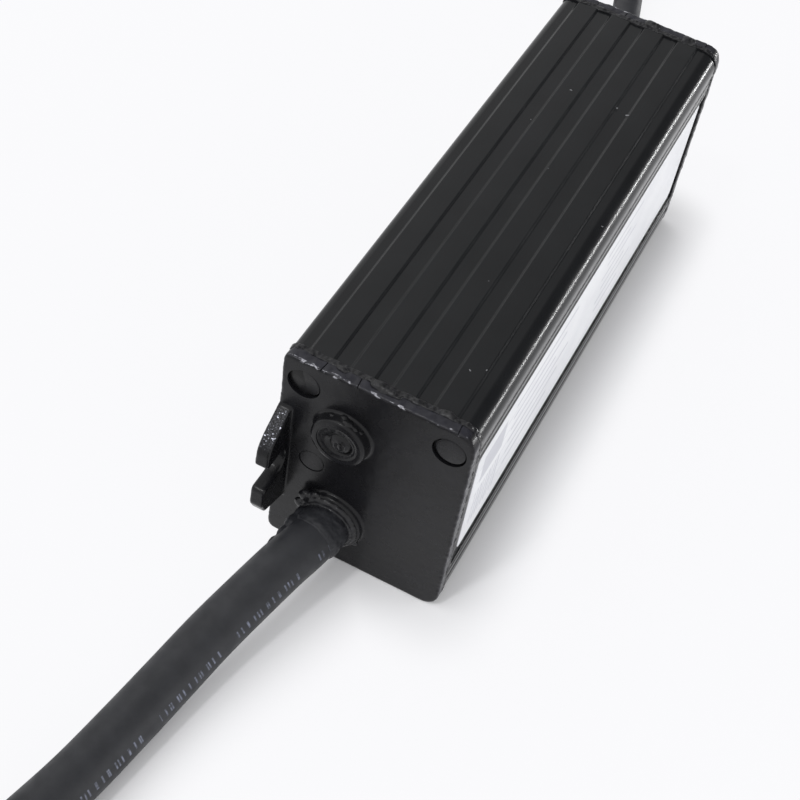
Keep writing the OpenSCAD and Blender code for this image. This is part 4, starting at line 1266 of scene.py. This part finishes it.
@dataclass
class PortPlug:
    """The compound in the fill port, with a low stirred dome, built for the input end.

    Attributes:
        end: The end that it closes.
        port: Axis of the fill port, across and up.
        radius: Radius of the pocket.
        face: How far out the boss's face lies.
        depth: Depth of the pocket.
    """

    end: End
    port: tuple[float, float] = (-4 * MM, 27 * MM)
    radius: float = 2.95 * MM
    face: float = 49.3 * MM
    depth: float = 1.4 * MM

    def build(self) -> Piece:
        """Insets the face of a short bar in steps and moves each step in or out."""
        x, z = self.port
        piece = add_drum(f"{self.end.name.lower()}_stirred_plug", x, z, -self.face + 0.14 * MM,
                         -self.face + self.depth + 0.05 * MM, self.radius + 0.07 * MM, self.radius - 0.06 * MM)
        steps = ((0.14, -0.06), (0.28, 0.1), (0.6, 0.06), (0.25, 0.2), (0.16, 0.14), (0.35, -0.34), (0.4, -0.14),
                 (0.3, 0.07), (0.2, -0.06))
        with editing(piece):
            pick(piece, Part.FACES, lambda f: f.normal.y < -0.9)
            for width, move in steps:
                bpy.ops.mesh.inset(thickness=width * MM, depth=0.0)
                bpy.ops.transform.translate(value=(0.07 * MM, move * MM, -0.06 * MM))
            pick(piece, Part.FACES, lambda f: f.normal.y < -0.2)
            bpy.ops.mesh.subdivide(number_cuts=2)
        weigh(piece, "front", lambda at, out: 1.0 if at.y < -self.face + 0.8 * MM
              and (at.xz - Vector(self.port)).length < self.radius * 0.85 else 0.0)
        swell(piece, 1.2 * MM, 0.12 * MM, "front")
        name = self.end.name.lower()
        piece = join(piece.name, [piece, self.spill()])
        smooth(piece, 45)
        return ready(turned(piece, self.end), PORT_COMPOUND, "port_compound", f"{name}_port_plug")

    def spill(self) -> Piece:
        """Shapes the compound that ran over the boss's upper edge from a few balls."""
        drops = []
        for dx, dz, back, radius in ((0.7, 3.7, 1.0, 0.75), (1.5, 3.3, 0.9, 0.65), (2.2, 2.9, 1.2, 0.6),
                                     (-1.5, 3.6, 1.3, 0.45), (0.1, 3.9, 1.5, 0.6)):
            drops.append(add_ball((self.port[0] + dx * MM, -self.face + back * MM, self.port[1] + dz * MM),
                                  radius * MM, (1.2, 1.0, 0.6)))
        piece = join("spill", drops)
        melt(piece, 0.1 * MM, 2)
        swell(piece, 0.6 * MM, 0.25 * MM)
        return piece


@dataclass
class Outlet:
    """The grommet in a plate's collar and the ring of sealant round the cable, built for the input end.

    Attributes:
        end: The end that it belongs to.
        cable_radius: Radius of its cable.
        smear: Centreline of the sealant smeared along its cable, in millimetres.
        run: Lumps that ran along its cable: place across and up, way out and radius, in millimetres.
        cable: Axis of the cable, across and up.
        face: How far out the collar's face lies.
        collar_radius: Radius of the collar.
    """

    end: End
    cable_radius: float
    smear: Sequence[Sequence[float]] = ()
    run: Sequence[tuple[float, float, float, float]] = ()
    cable: tuple[float, float] = (-4 * MM, 9 * MM)
    face: float = 48.5 * MM
    collar_radius: float = 4.9 * MM

    def grommet(self) -> Piece:
        """Shapes the grommet from a bar: its flange is extruded, then its bore is cut."""
        x, z = self.cable
        piece = add_drum(f"{self.end.name.lower()}_rubber_grommet", x, z, -self.face, -44 * MM, 4.35 * MM)
        with editing(piece):
            pick(piece, Part.FACES, lambda f: f.normal.y > 0.9)
            bpy.ops.mesh.extrude_region_move(TRANSFORM_OT_translate={"value": (0, 0.01 * MM, 0)})
            bpy.ops.transform.resize(value=(5.2 / 4.35, 1, 5.2 / 4.35), center_override=(x, -44 * MM, z))
            bpy.ops.mesh.extrude_region_move(TRANSFORM_OT_translate={"value": (0, 1.09 * MM, 0)})
        cut_away(piece, add_drum("bore", x, z, -60 * MM, -30 * MM, self.cable_radius + 0.05 * MM))
        apply_modifier(piece, "BEVEL", width=0.12 * MM, segments=2, limit_method="ANGLE",
                       angle_limit=math.radians(40))
        smooth(piece, 40)
        name = self.end.name.lower()
        return ready(turned(piece, self.end), GROMMET_RUBBER, "grommet_rubber", f"{name}_grommet")

    def sealant(self) -> Piece:
        """Lays an uneven ring on the collar, with a blob over the cable where it ran down."""
        x, z = self.cable
        name = self.end.name.lower()
        width = self.collar_radius - self.cable_radius
        bpy.ops.object.select_all(action="DESELECT")
        bpy.ops.mesh.primitive_torus_add(
            location=(x, -self.face + 0.05 * MM, z), rotation=(math.pi / 2, 0, 0), major_segments=72,
            minor_segments=14, major_radius=self.cable_radius + width * 0.36, minor_radius=width * 0.46)
        ring = bpy.context.active_object
        bpy.ops.object.transform_apply(location=True, rotation=True, scale=True)
        pieces = [ring]
        lumps = ((-3.7, 3.3, 0.5, 1.0), (-2.3, 4.1, 0.4, 0.7), (-4.3, 1.6, 0.7, 0.8), (4.0, -1.3, 0.3, 0.7),
                 (4.2, -2.5, 0.1, 0.55), (3.9, 0.4, 0.2, 0.5))
        for dx, dz, out, radius in lumps:
            pieces.append(add_ball((x + dx * MM, -self.face + (0.6 - out) * MM, z + dz * MM), radius * MM,
                                   (1.1, 0.7, 1.0)))
        if self.smear:
            path = [p for p in smooth_route(metres(self.smear), 0.8 * MM)
                    if self.face - 0.3 * MM < -p.y < self.face + 4.3 * MM]
            pieces.append(sweep("smear", path, self.cable_radius + 0.22 * MM, 40, 0.2 * MM))
        for dx, dz, out, radius in self.run:
            pieces.append(add_ball((x + dx * MM, -self.face - out * MM, z + dz * MM), radius * MM,
                                   (1.0, 1.0 + 0.16 * out, 1.0)))
        piece = join(f"{name}_outlet_sealant", pieces)
        melt(piece, 0.13 * MM, 2)
        swell(piece, 1.0 * MM, 0.22 * MM)
        smooth(piece, 60)
        return ready(turned(piece, self.end), SEALANT, "seam_sealant", f"{name}_collar_sealant")

    def build(self) -> list[Piece]:
        """Builds both."""
        return [self.grommet(), self.sealant()]


# The leads


def smooth_route(points: Sequence[Vector], step: float) -> list[Vector]:
    """Runs one smooth curve through the points of a route.

    Args:
        points: The route's points.
        step: About how far apart the new points lie.

    Returns:
        The curve's points, with the route's own among them.
    """
    ends = [2 * points[0] - points[1], *points, 2 * points[-1] - points[-2]]
    path: list[Vector] = []
    for i in range(1, len(ends) - 2):
        a, b, c, d = ends[i - 1:i + 3]
        knots = [0.0]
        for p, q in ((a, b), (b, c), (c, d)):
            knots.append(knots[-1] + (q - p).length ** 0.5)
        t0, t1, t2, t3 = knots
        count = max(2, round((c - b).length / step))
        for k in range(count):
            t = t1 + (t2 - t1) * k / count
            u = a.lerp(b, (t - t0) / (t1 - t0))
            v = b.lerp(c, (t - t1) / (t2 - t1))
            w = c.lerp(d, (t - t2) / (t3 - t2))
            path.append(u.lerp(v, (t - t0) / (t2 - t0)).lerp(v.lerp(w, (t - t1) / (t3 - t1)), (t - t1) / (t2 - t1)))
    path.append(points[-1].copy())
    return path


def sweep(name: str, path: Sequence[Vector], radius: float, sides: int, round_end: float = 0.0) -> Piece:
    """Sweeps a round tube along a path, closed at both ends, with length and turn in its UV map.

    Args:
        name: The piece's name.
        path: Its centreline.
        radius: Its radius.
        sides: Number of its sides.
        round_end: How far both ends' edges are rounded.

    Returns:
        The tube.
    """
    mesh = bmesh.new()
    map_layer = mesh.loops.layers.uv.new("UVMap")
    tangent = (path[1] - path[0]).normalized()
    side = tangent.cross(Vector((0, 0, 1))).normalized()
    rings: list[list[bmesh.types.BMVert]] = []
    marks: list[float] = []
    length = 0.0
    for i, at in enumerate(path):
        ahead = (path[min(i + 1, len(path) - 1)] - path[max(i - 1, 0)]).normalized()
        side = (side - ahead * side.dot(ahead)).normalized()
        up = side.cross(ahead)
        if i:
            length += (at - path[i - 1]).length
        shrink = round_end if i in (0, len(path) - 1) else 0.0
        rings.append([mesh.verts.new(at + (radius - shrink) * (math.cos(2 * math.pi * k / sides) * side
                                                                 + math.sin(2 * math.pi * k / sides) * up))
                      for k in range(sides)])
        marks.append(length)
    for i in range(len(rings) - 1):
        for k in range(sides):
            n = (k + 1) % sides
            face = mesh.faces.new((rings[i][k], rings[i][n], rings[i + 1][n], rings[i + 1][k]))
            values = ((marks[i], k / sides), (marks[i], (k + 1) / sides), (marks[i + 1], (k + 1) / sides),
                      (marks[i + 1], k / sides))
            for loop, value in zip(face.loops, values):
                loop[map_layer].uv = value
    mesh.faces.new(list(reversed(rings[0])))
    mesh.faces.new(rings[-1])
    bmesh.ops.recalc_face_normals(mesh, faces=mesh.faces)
    data = bpy.data.meshes.new(name)
    mesh.to_mesh(data)
    mesh.free()
    piece = bpy.data.objects.new(name, data)
    bpy.context.scene.collection.objects.link(piece)
    smooth(piece, 40)
    return piece


@dataclass
class Core:
    """An insulated core past a cable's jacket, with its tinned end.

    Attributes:
        name: The CAD node that it stands for.
        slot: The record's material slot.
        route: Its centreline, in millimetres as the CAD source gives it.
    """

    name: str
    slot: str
    route: Sequence[Sequence[float]]

    def points(self) -> list[Vector]:
        """Gives the smooth centreline."""
        return smooth_route(metres(self.route), 0.8 * MM)


@dataclass
class Lead:
    """A flexible lead: its jacket, its cores with tinned ends, and the tie that holds it folded.

    Attributes:
        end: The end that it leaves from.
        radius: Radius of the jacket.
        route: The jacket's centreline, in millimetres as the CAD source gives it.
        cores: Its insulated cores.
        tie_at: Middle of the tie.
        tie_half: Half the distance between the two runs in the tie.
        core_radius: Radius of a core.
        strand_length: Length of the tinned end.
        strand_radius: Radius of the tinned end.
    """

    end: End
    radius: float
    route: Sequence[Sequence[float]]
    cores: Sequence[Core]
    tie_at: tuple[float, float, float]
    tie_half: float
    core_radius: float = 1.15 * MM
    strand_length: float = 6 * MM
    strand_radius: float = 0.5 * MM

    @property
    def name(self) -> str:
        """Gives the end's name."""
        return self.end.name.lower()

    def jacket(self) -> tuple[Piece, list[Vector]]:
        """Sweeps the jacket along its route."""
        path = smooth_route(metres(self.route), 1.2 * MM)
        for point in path:
            point.z = max(point.z, self.radius)
        piece = sweep(f"{self.name}_jacket", path, self.radius, 40, 0.0)
        ready(piece, CABLE_RUBBER, "cable_rubber", f"{self.name}_cable")
        return piece, path

    def insulation(self) -> list[Piece]:
        """Sweeps the cores."""
        made = []
        for core in self.cores:
            path = core.points()
            for point in path:
                point.z = max(point.z, self.core_radius)
            back = path[0] - (path[1] - path[0]).normalized() * 1.5 * MM
            piece = sweep(f"{core.name}_insulation", [back, *path], self.core_radius, 24)
            made.append(ready(piece, PLAIN_FINISHES[core.slot], core.slot, core.name))
        return made

    def strands(self) -> Piece:
        """Lays six twisted wires round one in the middle, at the end of each core."""
        wires = []
        wire = self.strand_radius * 0.36
        ring = self.strand_radius - wire
        for core in self.cores:
            a, b = metres(core.route[-2:])
            along = (b - a).normalized()
            side = along.cross(Vector((0, 0, 1))).normalized()
            up = side.cross(along)
            for k in range(7):
                turn = 2 * math.pi * k / 6
                path = []
                for i in range(15):
                    s = i / 14
                    reach = (ring if k < 6 else 0.0) * (1 - 0.25 * s)
                    angle = turn + 2.6 * s
                    path.append(b - along * 0.8 * MM + along * (self.strand_length + 0.8 * MM) * s
                                + reach * (math.cos(angle) * side + math.sin(angle) * up))
                wires.append(sweep("wire", path, wire, 10, wire * 0.3))
        piece = join(f"{self.name}_tinned_ends", wires)
        return ready(piece, PLAIN_FINISHES["tinned_copper"], "tinned_copper", f"{self.name}_conductors")

    def tie(self) -> Piece:
        """Shapes the tie: a rounded band round both runs, a head with its slot and a cropped tail."""
        at = Vector(self.tie_at) * MM
        inner = self.radius + 0.34 * MM
        thick, wide = 0.7 * MM, 3.6 * MM
        reach = Vector((self.tie_half + inner + thick, wide / 2, inner + thick))
        band = add_block(f"{self.name}_nylon_tie", at - reach, at + reach)
        with editing(band):
            pick(band, Part.EDGES, lambda e: abs(e.verts[0].co.y - e.verts[1].co.y) > wide / 2)
            bpy.ops.mesh.bevel(offset=inner + thick - 0.02 * MM, segments=10, profile=0.5, affect="EDGES")
            pick(band, Part.FACES, lambda f: abs(f.normal.y) > 0.9)
            bpy.ops.mesh.inset(thickness=thick, depth=0.0)
            bpy.ops.mesh.bridge_edge_loops()
        head_low = at + Vector((-2.1 * MM, -2.0 * MM, inner + thick - 0.1 * MM))
        head = add_block("head", head_low, head_low + Vector((4.2 * MM, 4.0 * MM, 2.6 * MM)))
        with editing(head):
            pick(head, Part.FACES, lambda f: f.normal.x > 0.9)
            bpy.ops.mesh.inset(thickness=0.7 * MM, depth=-0.9 * MM)
        tail = add_block("tail", head_low + Vector((4.0 * MM, 0.6 * MM, 0.8 * MM)),
                         head_low + Vector((6.4 * MM, 3.4 * MM, 1.7 * MM)))
        piece = join(f"{self.name}_nylon_tie", [band, head, tail])
        apply_modifier(piece, "BEVEL", width=0.15 * MM, segments=2, limit_method="ANGLE",
                       angle_limit=math.radians(40))
        smooth(piece, 40)
        return ready(piece, PLAIN_FINISHES["tie_nylon"], "tie_nylon", f"{self.name}_cable_tie")

    def build(self) -> list[Piece]:
        """Builds the lead and reports its jacket's length."""
        jacket, path = self.jacket()
        others = [*self.insulation(), self.strands(), self.tie()]
        length = sum((b - a).length for a, b in zip(path, path[1:]))
        log.info("lead %s: jacket %.1f mm long", self.name, length / MM)
        return [jacket, *others]


INPUT_LEAD = Lead(
    End.INPUT, 3.6 * MM,
    [(-4, -41.5, 9), (-4, -49, 9), (-4.7, -53, 8.8), (-6, -57.5, 8.1), (-7.7, -64, 6.9),
     (-9.2, -70, 5.7), (-10.7, -78, 4.5), (-12, -86, 3.9), (-13.5, -95, 3.6), (-15.4, -104, 3.8),
     (-17.2, -114, 4.7), (-18.6, -124.5, 3.9), (-22.5, -133, 3.6), (-29, -140, 3.6),
     (-34.2, -146.5, 3.6), (-37.4, -156, 3.6), (-36, -166.5, 3.6), (-30.5, -175.5, 3.6),
     (-21.7, -181, 3.6), (-13.5, -182.5, 3.6), (-5.2, -181, 3.6), (3.5, -175.5, 3.6),
     (9.1, -166.5, 3.6), (10.5, -156, 3.6), (7.3, -146.5, 3.6), (2, -140, 3.6),
     (-4.4, -133, 3.6), (-8.3, -124.5, 3.9), (-9.7, -116, 4.7), (-9.7, -110, 4.7)],
    [Core("live_core", "brown_insulation",
          [(-10.95, -110, 4.1), (-10.8, -106, 2.2), (-9.2, -102, 1.15), (-4.5, -99.2, 1.15), (5, -98, 1.15)]),
     Core("neutral_core", "blue_insulation",
          [(-8.45, -110, 4.1), (-7.4, -107.2, 2.3), (-4.2, -106.4, 1.15), (1, -107.4, 1.15), (8, -111, 1.15)]),
     Core("earth_core", "green_yellow_insulation",
          [(-9.7, -110, 6.2), (-9, -106.4, 4.6), (-6.2, -103.2, 1.9), (-1, -102.6, 1.15), (8.5, -103.4, 1.15)])],
    (-13.45, -114.2, 4.7), 3.75 * MM)

OUTPUT_LEAD = Lead(
    End.OUTPUT, 2.85 * MM,
    [(-4, 41.5, 9), (-4, 49, 9), (-4.4, 55, 8.6), (-5.6, 63, 7.4), (-7.9, 74, 5.2),
     (-10.6, 85, 3.5), (-14.2, 98, 2.85), (-16.5, 107, 3.2), (-17.2, 116, 3.9),
     (-16, 124, 3.1), (-12.7, 131, 2.85), (-7.3, 137, 2.85), (-2, 144, 2.85), (-0.2, 152.5, 2.85),
     (-2, 161, 2.85), (-7.3, 168, 2.85), (-15, 172, 2.85), (-25.3, 172, 2.85), (-33, 168, 2.85),
     (-38.3, 161, 2.85), (-40.1, 152.5, 2.85), (-38.3, 144, 2.85), (-33, 137, 2.85),
     (-27.6, 131, 2.85), (-24.3, 124, 3.1), (-23.1, 117, 3.9), (-23.1, 111, 3.9)],
    [Core("positive_core", "red_insulation",
          [(-24.3, 111, 3.4), (-25, 107.6, 1.8), (-28, 104.6, 1.15), (-32.5, 103.6, 1.15), (-37, 104.6, 1.15)]),
     Core("negative_core", "black_insulation",
          [(-21.9, 111, 3.4), (-22.1, 106.8, 1.6), (-24.4, 102.6, 1.15), (-28.4, 99.6, 1.15),
           (-34.4, 97.4, 1.15)])],
    (-20.15, 116, 3.9), 2.95 * MM)


# What keeps its CAD shape, the floor, the lights and the camera


def dress_frame() -> None:
    """Gives every CAD node that still shows its slot's finish."""
    slots = {part["node"]: part["material_slot"] for part in frame["record"]["subparts"]}
    for node, piece in frame["nodes"].items():
        finish = PLAIN_FINISHES[slots[node]]
        for place in piece.material_slots:
            place.material = finish.material()
        log.info("node %s: %s", node, finish.name)


@dataclass
class Studio:
    """The plain floor, the soft light and the camera of the photograph.

    Attributes:
        floor_colour: The floor's colour, sRGB.
        back_colour: The colour that the bleached background has, sRGB.
        footprint: Half the case's width and length, and a height over the floor's.
        bleach: How far the floor's shadows are bleached to the eye, beside the object and away from it.
        front_level: How bright the room is in front.
        lens: The camera's lens, for a sensor 36 mm wide.
        place: Where the camera stands, in millimetres.
        azimuth: How far round it stands, in degrees from the input end towards the label side.
        elevation: How far up it stands, in degrees.
        roll: How far it is turned about its view, in degrees.
    """

    floor_colour: str = "#f6f6f8"
    back_colour: str = "#fafafc"
    footprint: tuple[float, float, float] = (13.5 * MM, 47.5 * MM, 1.0)
    bleach: tuple[float, float] = (0.0, 0.93)
    front_level: float = 1.08
    lens: float = 68.11
    place: tuple[float, float, float] = (40.7495, -161.830, 178.4527)
    azimuth: float = 18.41
    elevation: float = 49.29
    roll: float = 10.93

    def camera(self) -> None:
        """Stands the camera where the photograph was taken."""
        data = bpy.data.cameras.new("camera")
        data.lens = self.lens
        data.sensor_width = 36
        data.clip_start = 0.01
        az, el, roll = (math.radians(v) for v in (self.azimuth, self.elevation, self.roll))
        back = Vector((math.sin(az) * math.cos(el), -math.cos(az) * math.cos(el), math.sin(el)))
        right = (-back).cross(Vector((0, 0, 1))).normalized()
        up = right.cross(-back)
        x = math.cos(roll) * right + math.sin(roll) * up
        y = -math.sin(roll) * right + math.cos(roll) * up
        camera = bpy.data.objects.new("camera", data)
        camera.matrix_world = Matrix.Translation(Vector(self.place) * MM) @ Matrix((x, y, back)).transposed().to_4x4()
        bpy.context.scene.collection.objects.link(camera)
        bpy.context.scene.camera = camera

    def beside(self, tree: bpy.types.NodeTree) -> Socket:
        """Gives 1 on the floor close to the right of the case and its cable, falling to 0 away from them."""
        place = add_node(tree, "ShaderNodeTexCoord").outputs["Object"]
        size = add_node(tree, "ShaderNodeVectorMath", {0: place}, operation="ABSOLUTE")
        past = add_node(tree, "ShaderNodeVectorMath", {0: size.outputs[0], 1: self.footprint}, operation="SUBTRACT")
        past = add_node(tree, "ShaderNodeVectorMath", {0: past.outputs[0], 1: (0, 0, 0)}, operation="MAXIMUM")
        off_case = add_node(tree, "ShaderNodeVectorMath", {0: past.outputs[0]}, operation="LENGTH")
        split = add_node(tree, "ShaderNodeSeparateXYZ", {0: place})
        down = add_node(tree, "ShaderNodeMath", {0: split.outputs["Y"], 1: self.footprint[1]}, operation="ADD")
        down = add_node(tree, "ShaderNodeMath", {0: down.outputs[0], 1: 0.0}, operation="MINIMUM")
        lean = add_node(tree, "ShaderNodeMath", {0: down.outputs[0], 1: -0.2, 2: 4 * MM},
                        operation="MULTIPLY_ADD")
        aside = add_node(tree, "ShaderNodeMath", {0: split.outputs["X"], 1: lean.outputs[0]}, operation="ADD")
        off_cable = add_node(tree, "ShaderNodeMath", {0: aside.outputs[0]}, operation="ABSOLUTE")
        off_cable = add_node(tree, "ShaderNodeMath", {0: off_cable.outputs[0], 1: 3.6 * MM}, operation="SUBTRACT")
        along = add_node(tree, "ShaderNodeMath", {0: split.outputs["Y"], 1: 32 * MM}, operation="ADD")
        along = add_node(tree, "ShaderNodeMath", {0: along.outputs[0]}, operation="ABSOLUTE")
        beyond = add_node(tree, "ShaderNodeMath", {0: along.outputs[0], 1: 85 * MM}, operation="SUBTRACT")
        off_cable = add_node(tree, "ShaderNodeMath", {0: off_cable.outputs[0], 1: beyond.outputs[0]},
                             operation="MAXIMUM")
        off = add_node(tree, "ShaderNodeMath", {0: off_case.outputs["Value"], 1: off_cable.outputs[0]},
                       operation="MINIMUM")
        near = add_node(tree, "ShaderNodeMapRange", {"Value": off.outputs[0], "From Min": 1 * MM,
                                                     "From Max": 12 * MM, "To Min": 1.0, "To Max": 0.0},
                        interpolation_type="SMOOTHSTEP")
        right = add_node(tree, "ShaderNodeMapRange", {"Value": aside.outputs[0], "From Min": -4 * MM,
                                                      "From Max": 2 * MM})
        both = add_node(tree, "ShaderNodeMath", {0: near.outputs[0], 1: right.outputs[0]}, operation="MULTIPLY")
        return both.outputs[0]

    def floor(self) -> None:
        """Lays the floor: it looks pale to the camera and still takes the object's shadow."""
        bpy.ops.object.select_all(action="DESELECT")
        bpy.ops.mesh.primitive_plane_add(size=40)
        piece = bpy.context.active_object
        piece.name = piece.data.name = "studio_floor"
        made = bpy.data.materials.new("floor_paper")
        made.use_nodes = True
        tree = made.node_tree
        tree.nodes.clear()
        paper = add_node(tree, "ShaderNodeBsdfDiffuse", {"Color": linear(self.floor_colour)})
        glow = add_node(tree, "ShaderNodeEmission", {"Color": linear(self.back_colour), "Strength": 1.0})
        path = add_node(tree, "ShaderNodeLightPath")
        seen = add_node(tree, "ShaderNodeMath", {0: path.outputs["Is Camera Ray"], 1: path.outputs["Is Glossy Ray"]},
                        operation="MAXIMUM")
        seen = add_node(tree, "ShaderNodeMath", {0: seen.outputs[0], 1: path.outputs["Is Transmission Ray"]},
                        operation="MAXIMUM")
        share = add_node(tree, "ShaderNodeMapRange", {"Value": self.beside(tree), "To Min": self.bleach[1],
                                                      "To Max": self.bleach[0]})
        share = add_node(tree, "ShaderNodeMath", {0: seen.outputs[0], 1: share.outputs[0]}, operation="MULTIPLY")
        mixed = add_node(tree, "ShaderNodeMixShader", {0: share.outputs[0], 1: paper.outputs[0], 2: glow.outputs[0]})
        add_node(tree, "ShaderNodeOutputMaterial", {"Surface": mixed.outputs[0]})
        piece.data.materials.append(made)

    def world(self) -> None:
        """Sets a pale room: brighter to the left and behind, dimmer to the right."""
        world = bpy.data.worlds.new("room")
        bpy.context.scene.world = world
        world.use_nodes = True
        tree = world.node_tree
        tree.nodes.clear()
        way = add_node(tree, "ShaderNodeTexCoord").outputs["Generated"]
        split = add_node(tree, "ShaderNodeSeparateXYZ", {0: way})
        ramp = lambda axis, start, stop, low, high: add_node(tree, "ShaderNodeMapRange", {
            "Value": split.outputs[axis], "From Min": start, "From Max": stop, "To Min": low, "To Max": high}
        ).outputs[0]
        aside = ramp("X", -0.42, 0.04, 1.25, 0.18)
        back = add_node(tree, "ShaderNodeMath", {0: aside, 1: ramp("Z", 0.3, 0.8, 0.75, 1.0)}, operation="MULTIPLY")
        level = add_node(tree, "ShaderNodeMix", {0: ramp("Y", -0.1, 0.4, 0.0, 1.0), 2: self.front_level,
                                                 3: back.outputs[0]}, data_type="FLOAT")
        room = add_node(tree, "ShaderNodeBackground", {"Color": (1, 1, 1, 1), "Strength": level.outputs[0]})
        add_node(tree, "ShaderNodeOutputWorld", {"Surface": room.outputs[0]})

    def lamps(self) -> None:
        """Hangs a soft sun to the upper left, a low strip behind on the right and a small box in front."""
        sun = bpy.data.lights.new("soft_sun", "SUN")
        sun.energy = 0.35
        sun.angle = math.radians(50)
        piece = bpy.data.objects.new("soft_sun", sun)
        piece.rotation_euler = Vector((-0.55, -0.1, 0.85)).to_track_quat("Z", "Y").to_euler()
        bpy.context.scene.collection.objects.link(piece)
        strip = bpy.data.lights.new("low_strip", "AREA")
        strip.shape = "RECTANGLE"
        strip.size = 1.4
        strip.size_y = 0.05
        strip.energy = 16
        lamp = bpy.data.objects.new("low_strip", strip)
        lamp.location = (1.25, 1.0, 0.16)
        lamp.rotation_euler = (lamp.location - Vector((0, 0, 0.02))).to_track_quat("Z", "Y").to_euler()
        bpy.context.scene.collection.objects.link(lamp)
        box = bpy.data.lights.new("small_box", "AREA")
        box.shape = "SQUARE"
        box.size = 0.1
        box.energy = 1.9
        glint = bpy.data.objects.new("small_box", box)
        glint.location = Vector((-0.2, -0.44, 0.875)) * 1.1 + Vector((0, -0.05, 0.02))
        glint.rotation_euler = (glint.location - Vector((0, -0.05, 0.02))).to_track_quat("Z", "Y").to_euler()
        bpy.context.scene.collection.objects.link(glint)

    def build(self) -> None:
        """Builds all of it."""
        self.camera()
        self.floor()
        self.world()
        self.lamps()
        bpy.context.scene.view_settings.view_transform = "Standard"


def main() -> None:
    """Builds the pieces in order and reports each one."""
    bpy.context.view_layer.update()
    Studio().build()
    pieces = [*INPUT_LEAD.build(), *OUTPUT_LEAD.build()]
    pieces.append(Case().build())
    pieces.append(Dust().build())
    pieces.append(Label().build())
    near_lumps = ((-0.6, -45.9, 37.25, 1.0), (0.9, -46.1, 37.2, 0.8), (-1.9, -45.6, 37.3, 0.5),
                  (-6.0, -46.0, 37.2, 0.6), (4.2, -45.7, 37.2, 0.55), (8.4, -45.3, 37.1, 0.75),
                  (10.6, -45.6, 36.9, 0.6), (1.8, -46.3, 37.2, 0.5), (-0.1, -46.5, 37.15, 0.45))
    far_lumps = ((1.5, -46.6, 37.1, 1.0), (7.8, -46.5, 37.0, 0.9), (-7.0, -45.6, 37.1, 0.5),
                 (-13.3, -45.5, 24.0, 0.5))
    for end, lumps, lead in ((End.INPUT, near_lumps, INPUT_LEAD), (End.OUTPUT, far_lumps, OUTPUT_LEAD)):
        pieces.append(EndPlate(end).build())
        pieces.append(SeamBead(end, lumps).build())
        pieces.append(Fillers(end).build())
        pieces.append(PortPlug(end).build())
        if end is End.INPUT:
            outlet = Outlet(end, lead.radius, lead.route[:4],
                            ((-3.2, 1.1, 1.6, 1.15), (-3.6, 1.1, 3.4, 1.05), (-3.9, 0.9, 5.3, 0.85),
                             (-4.5, 0.5, 7.4, 0.65)))
        else:
            outlet = Outlet(end, lead.radius)
        pieces.extend(outlet.build())
    dress_frame()
    log.info("%d pieces", len(pieces))


if __name__ == "__main__":
    main()
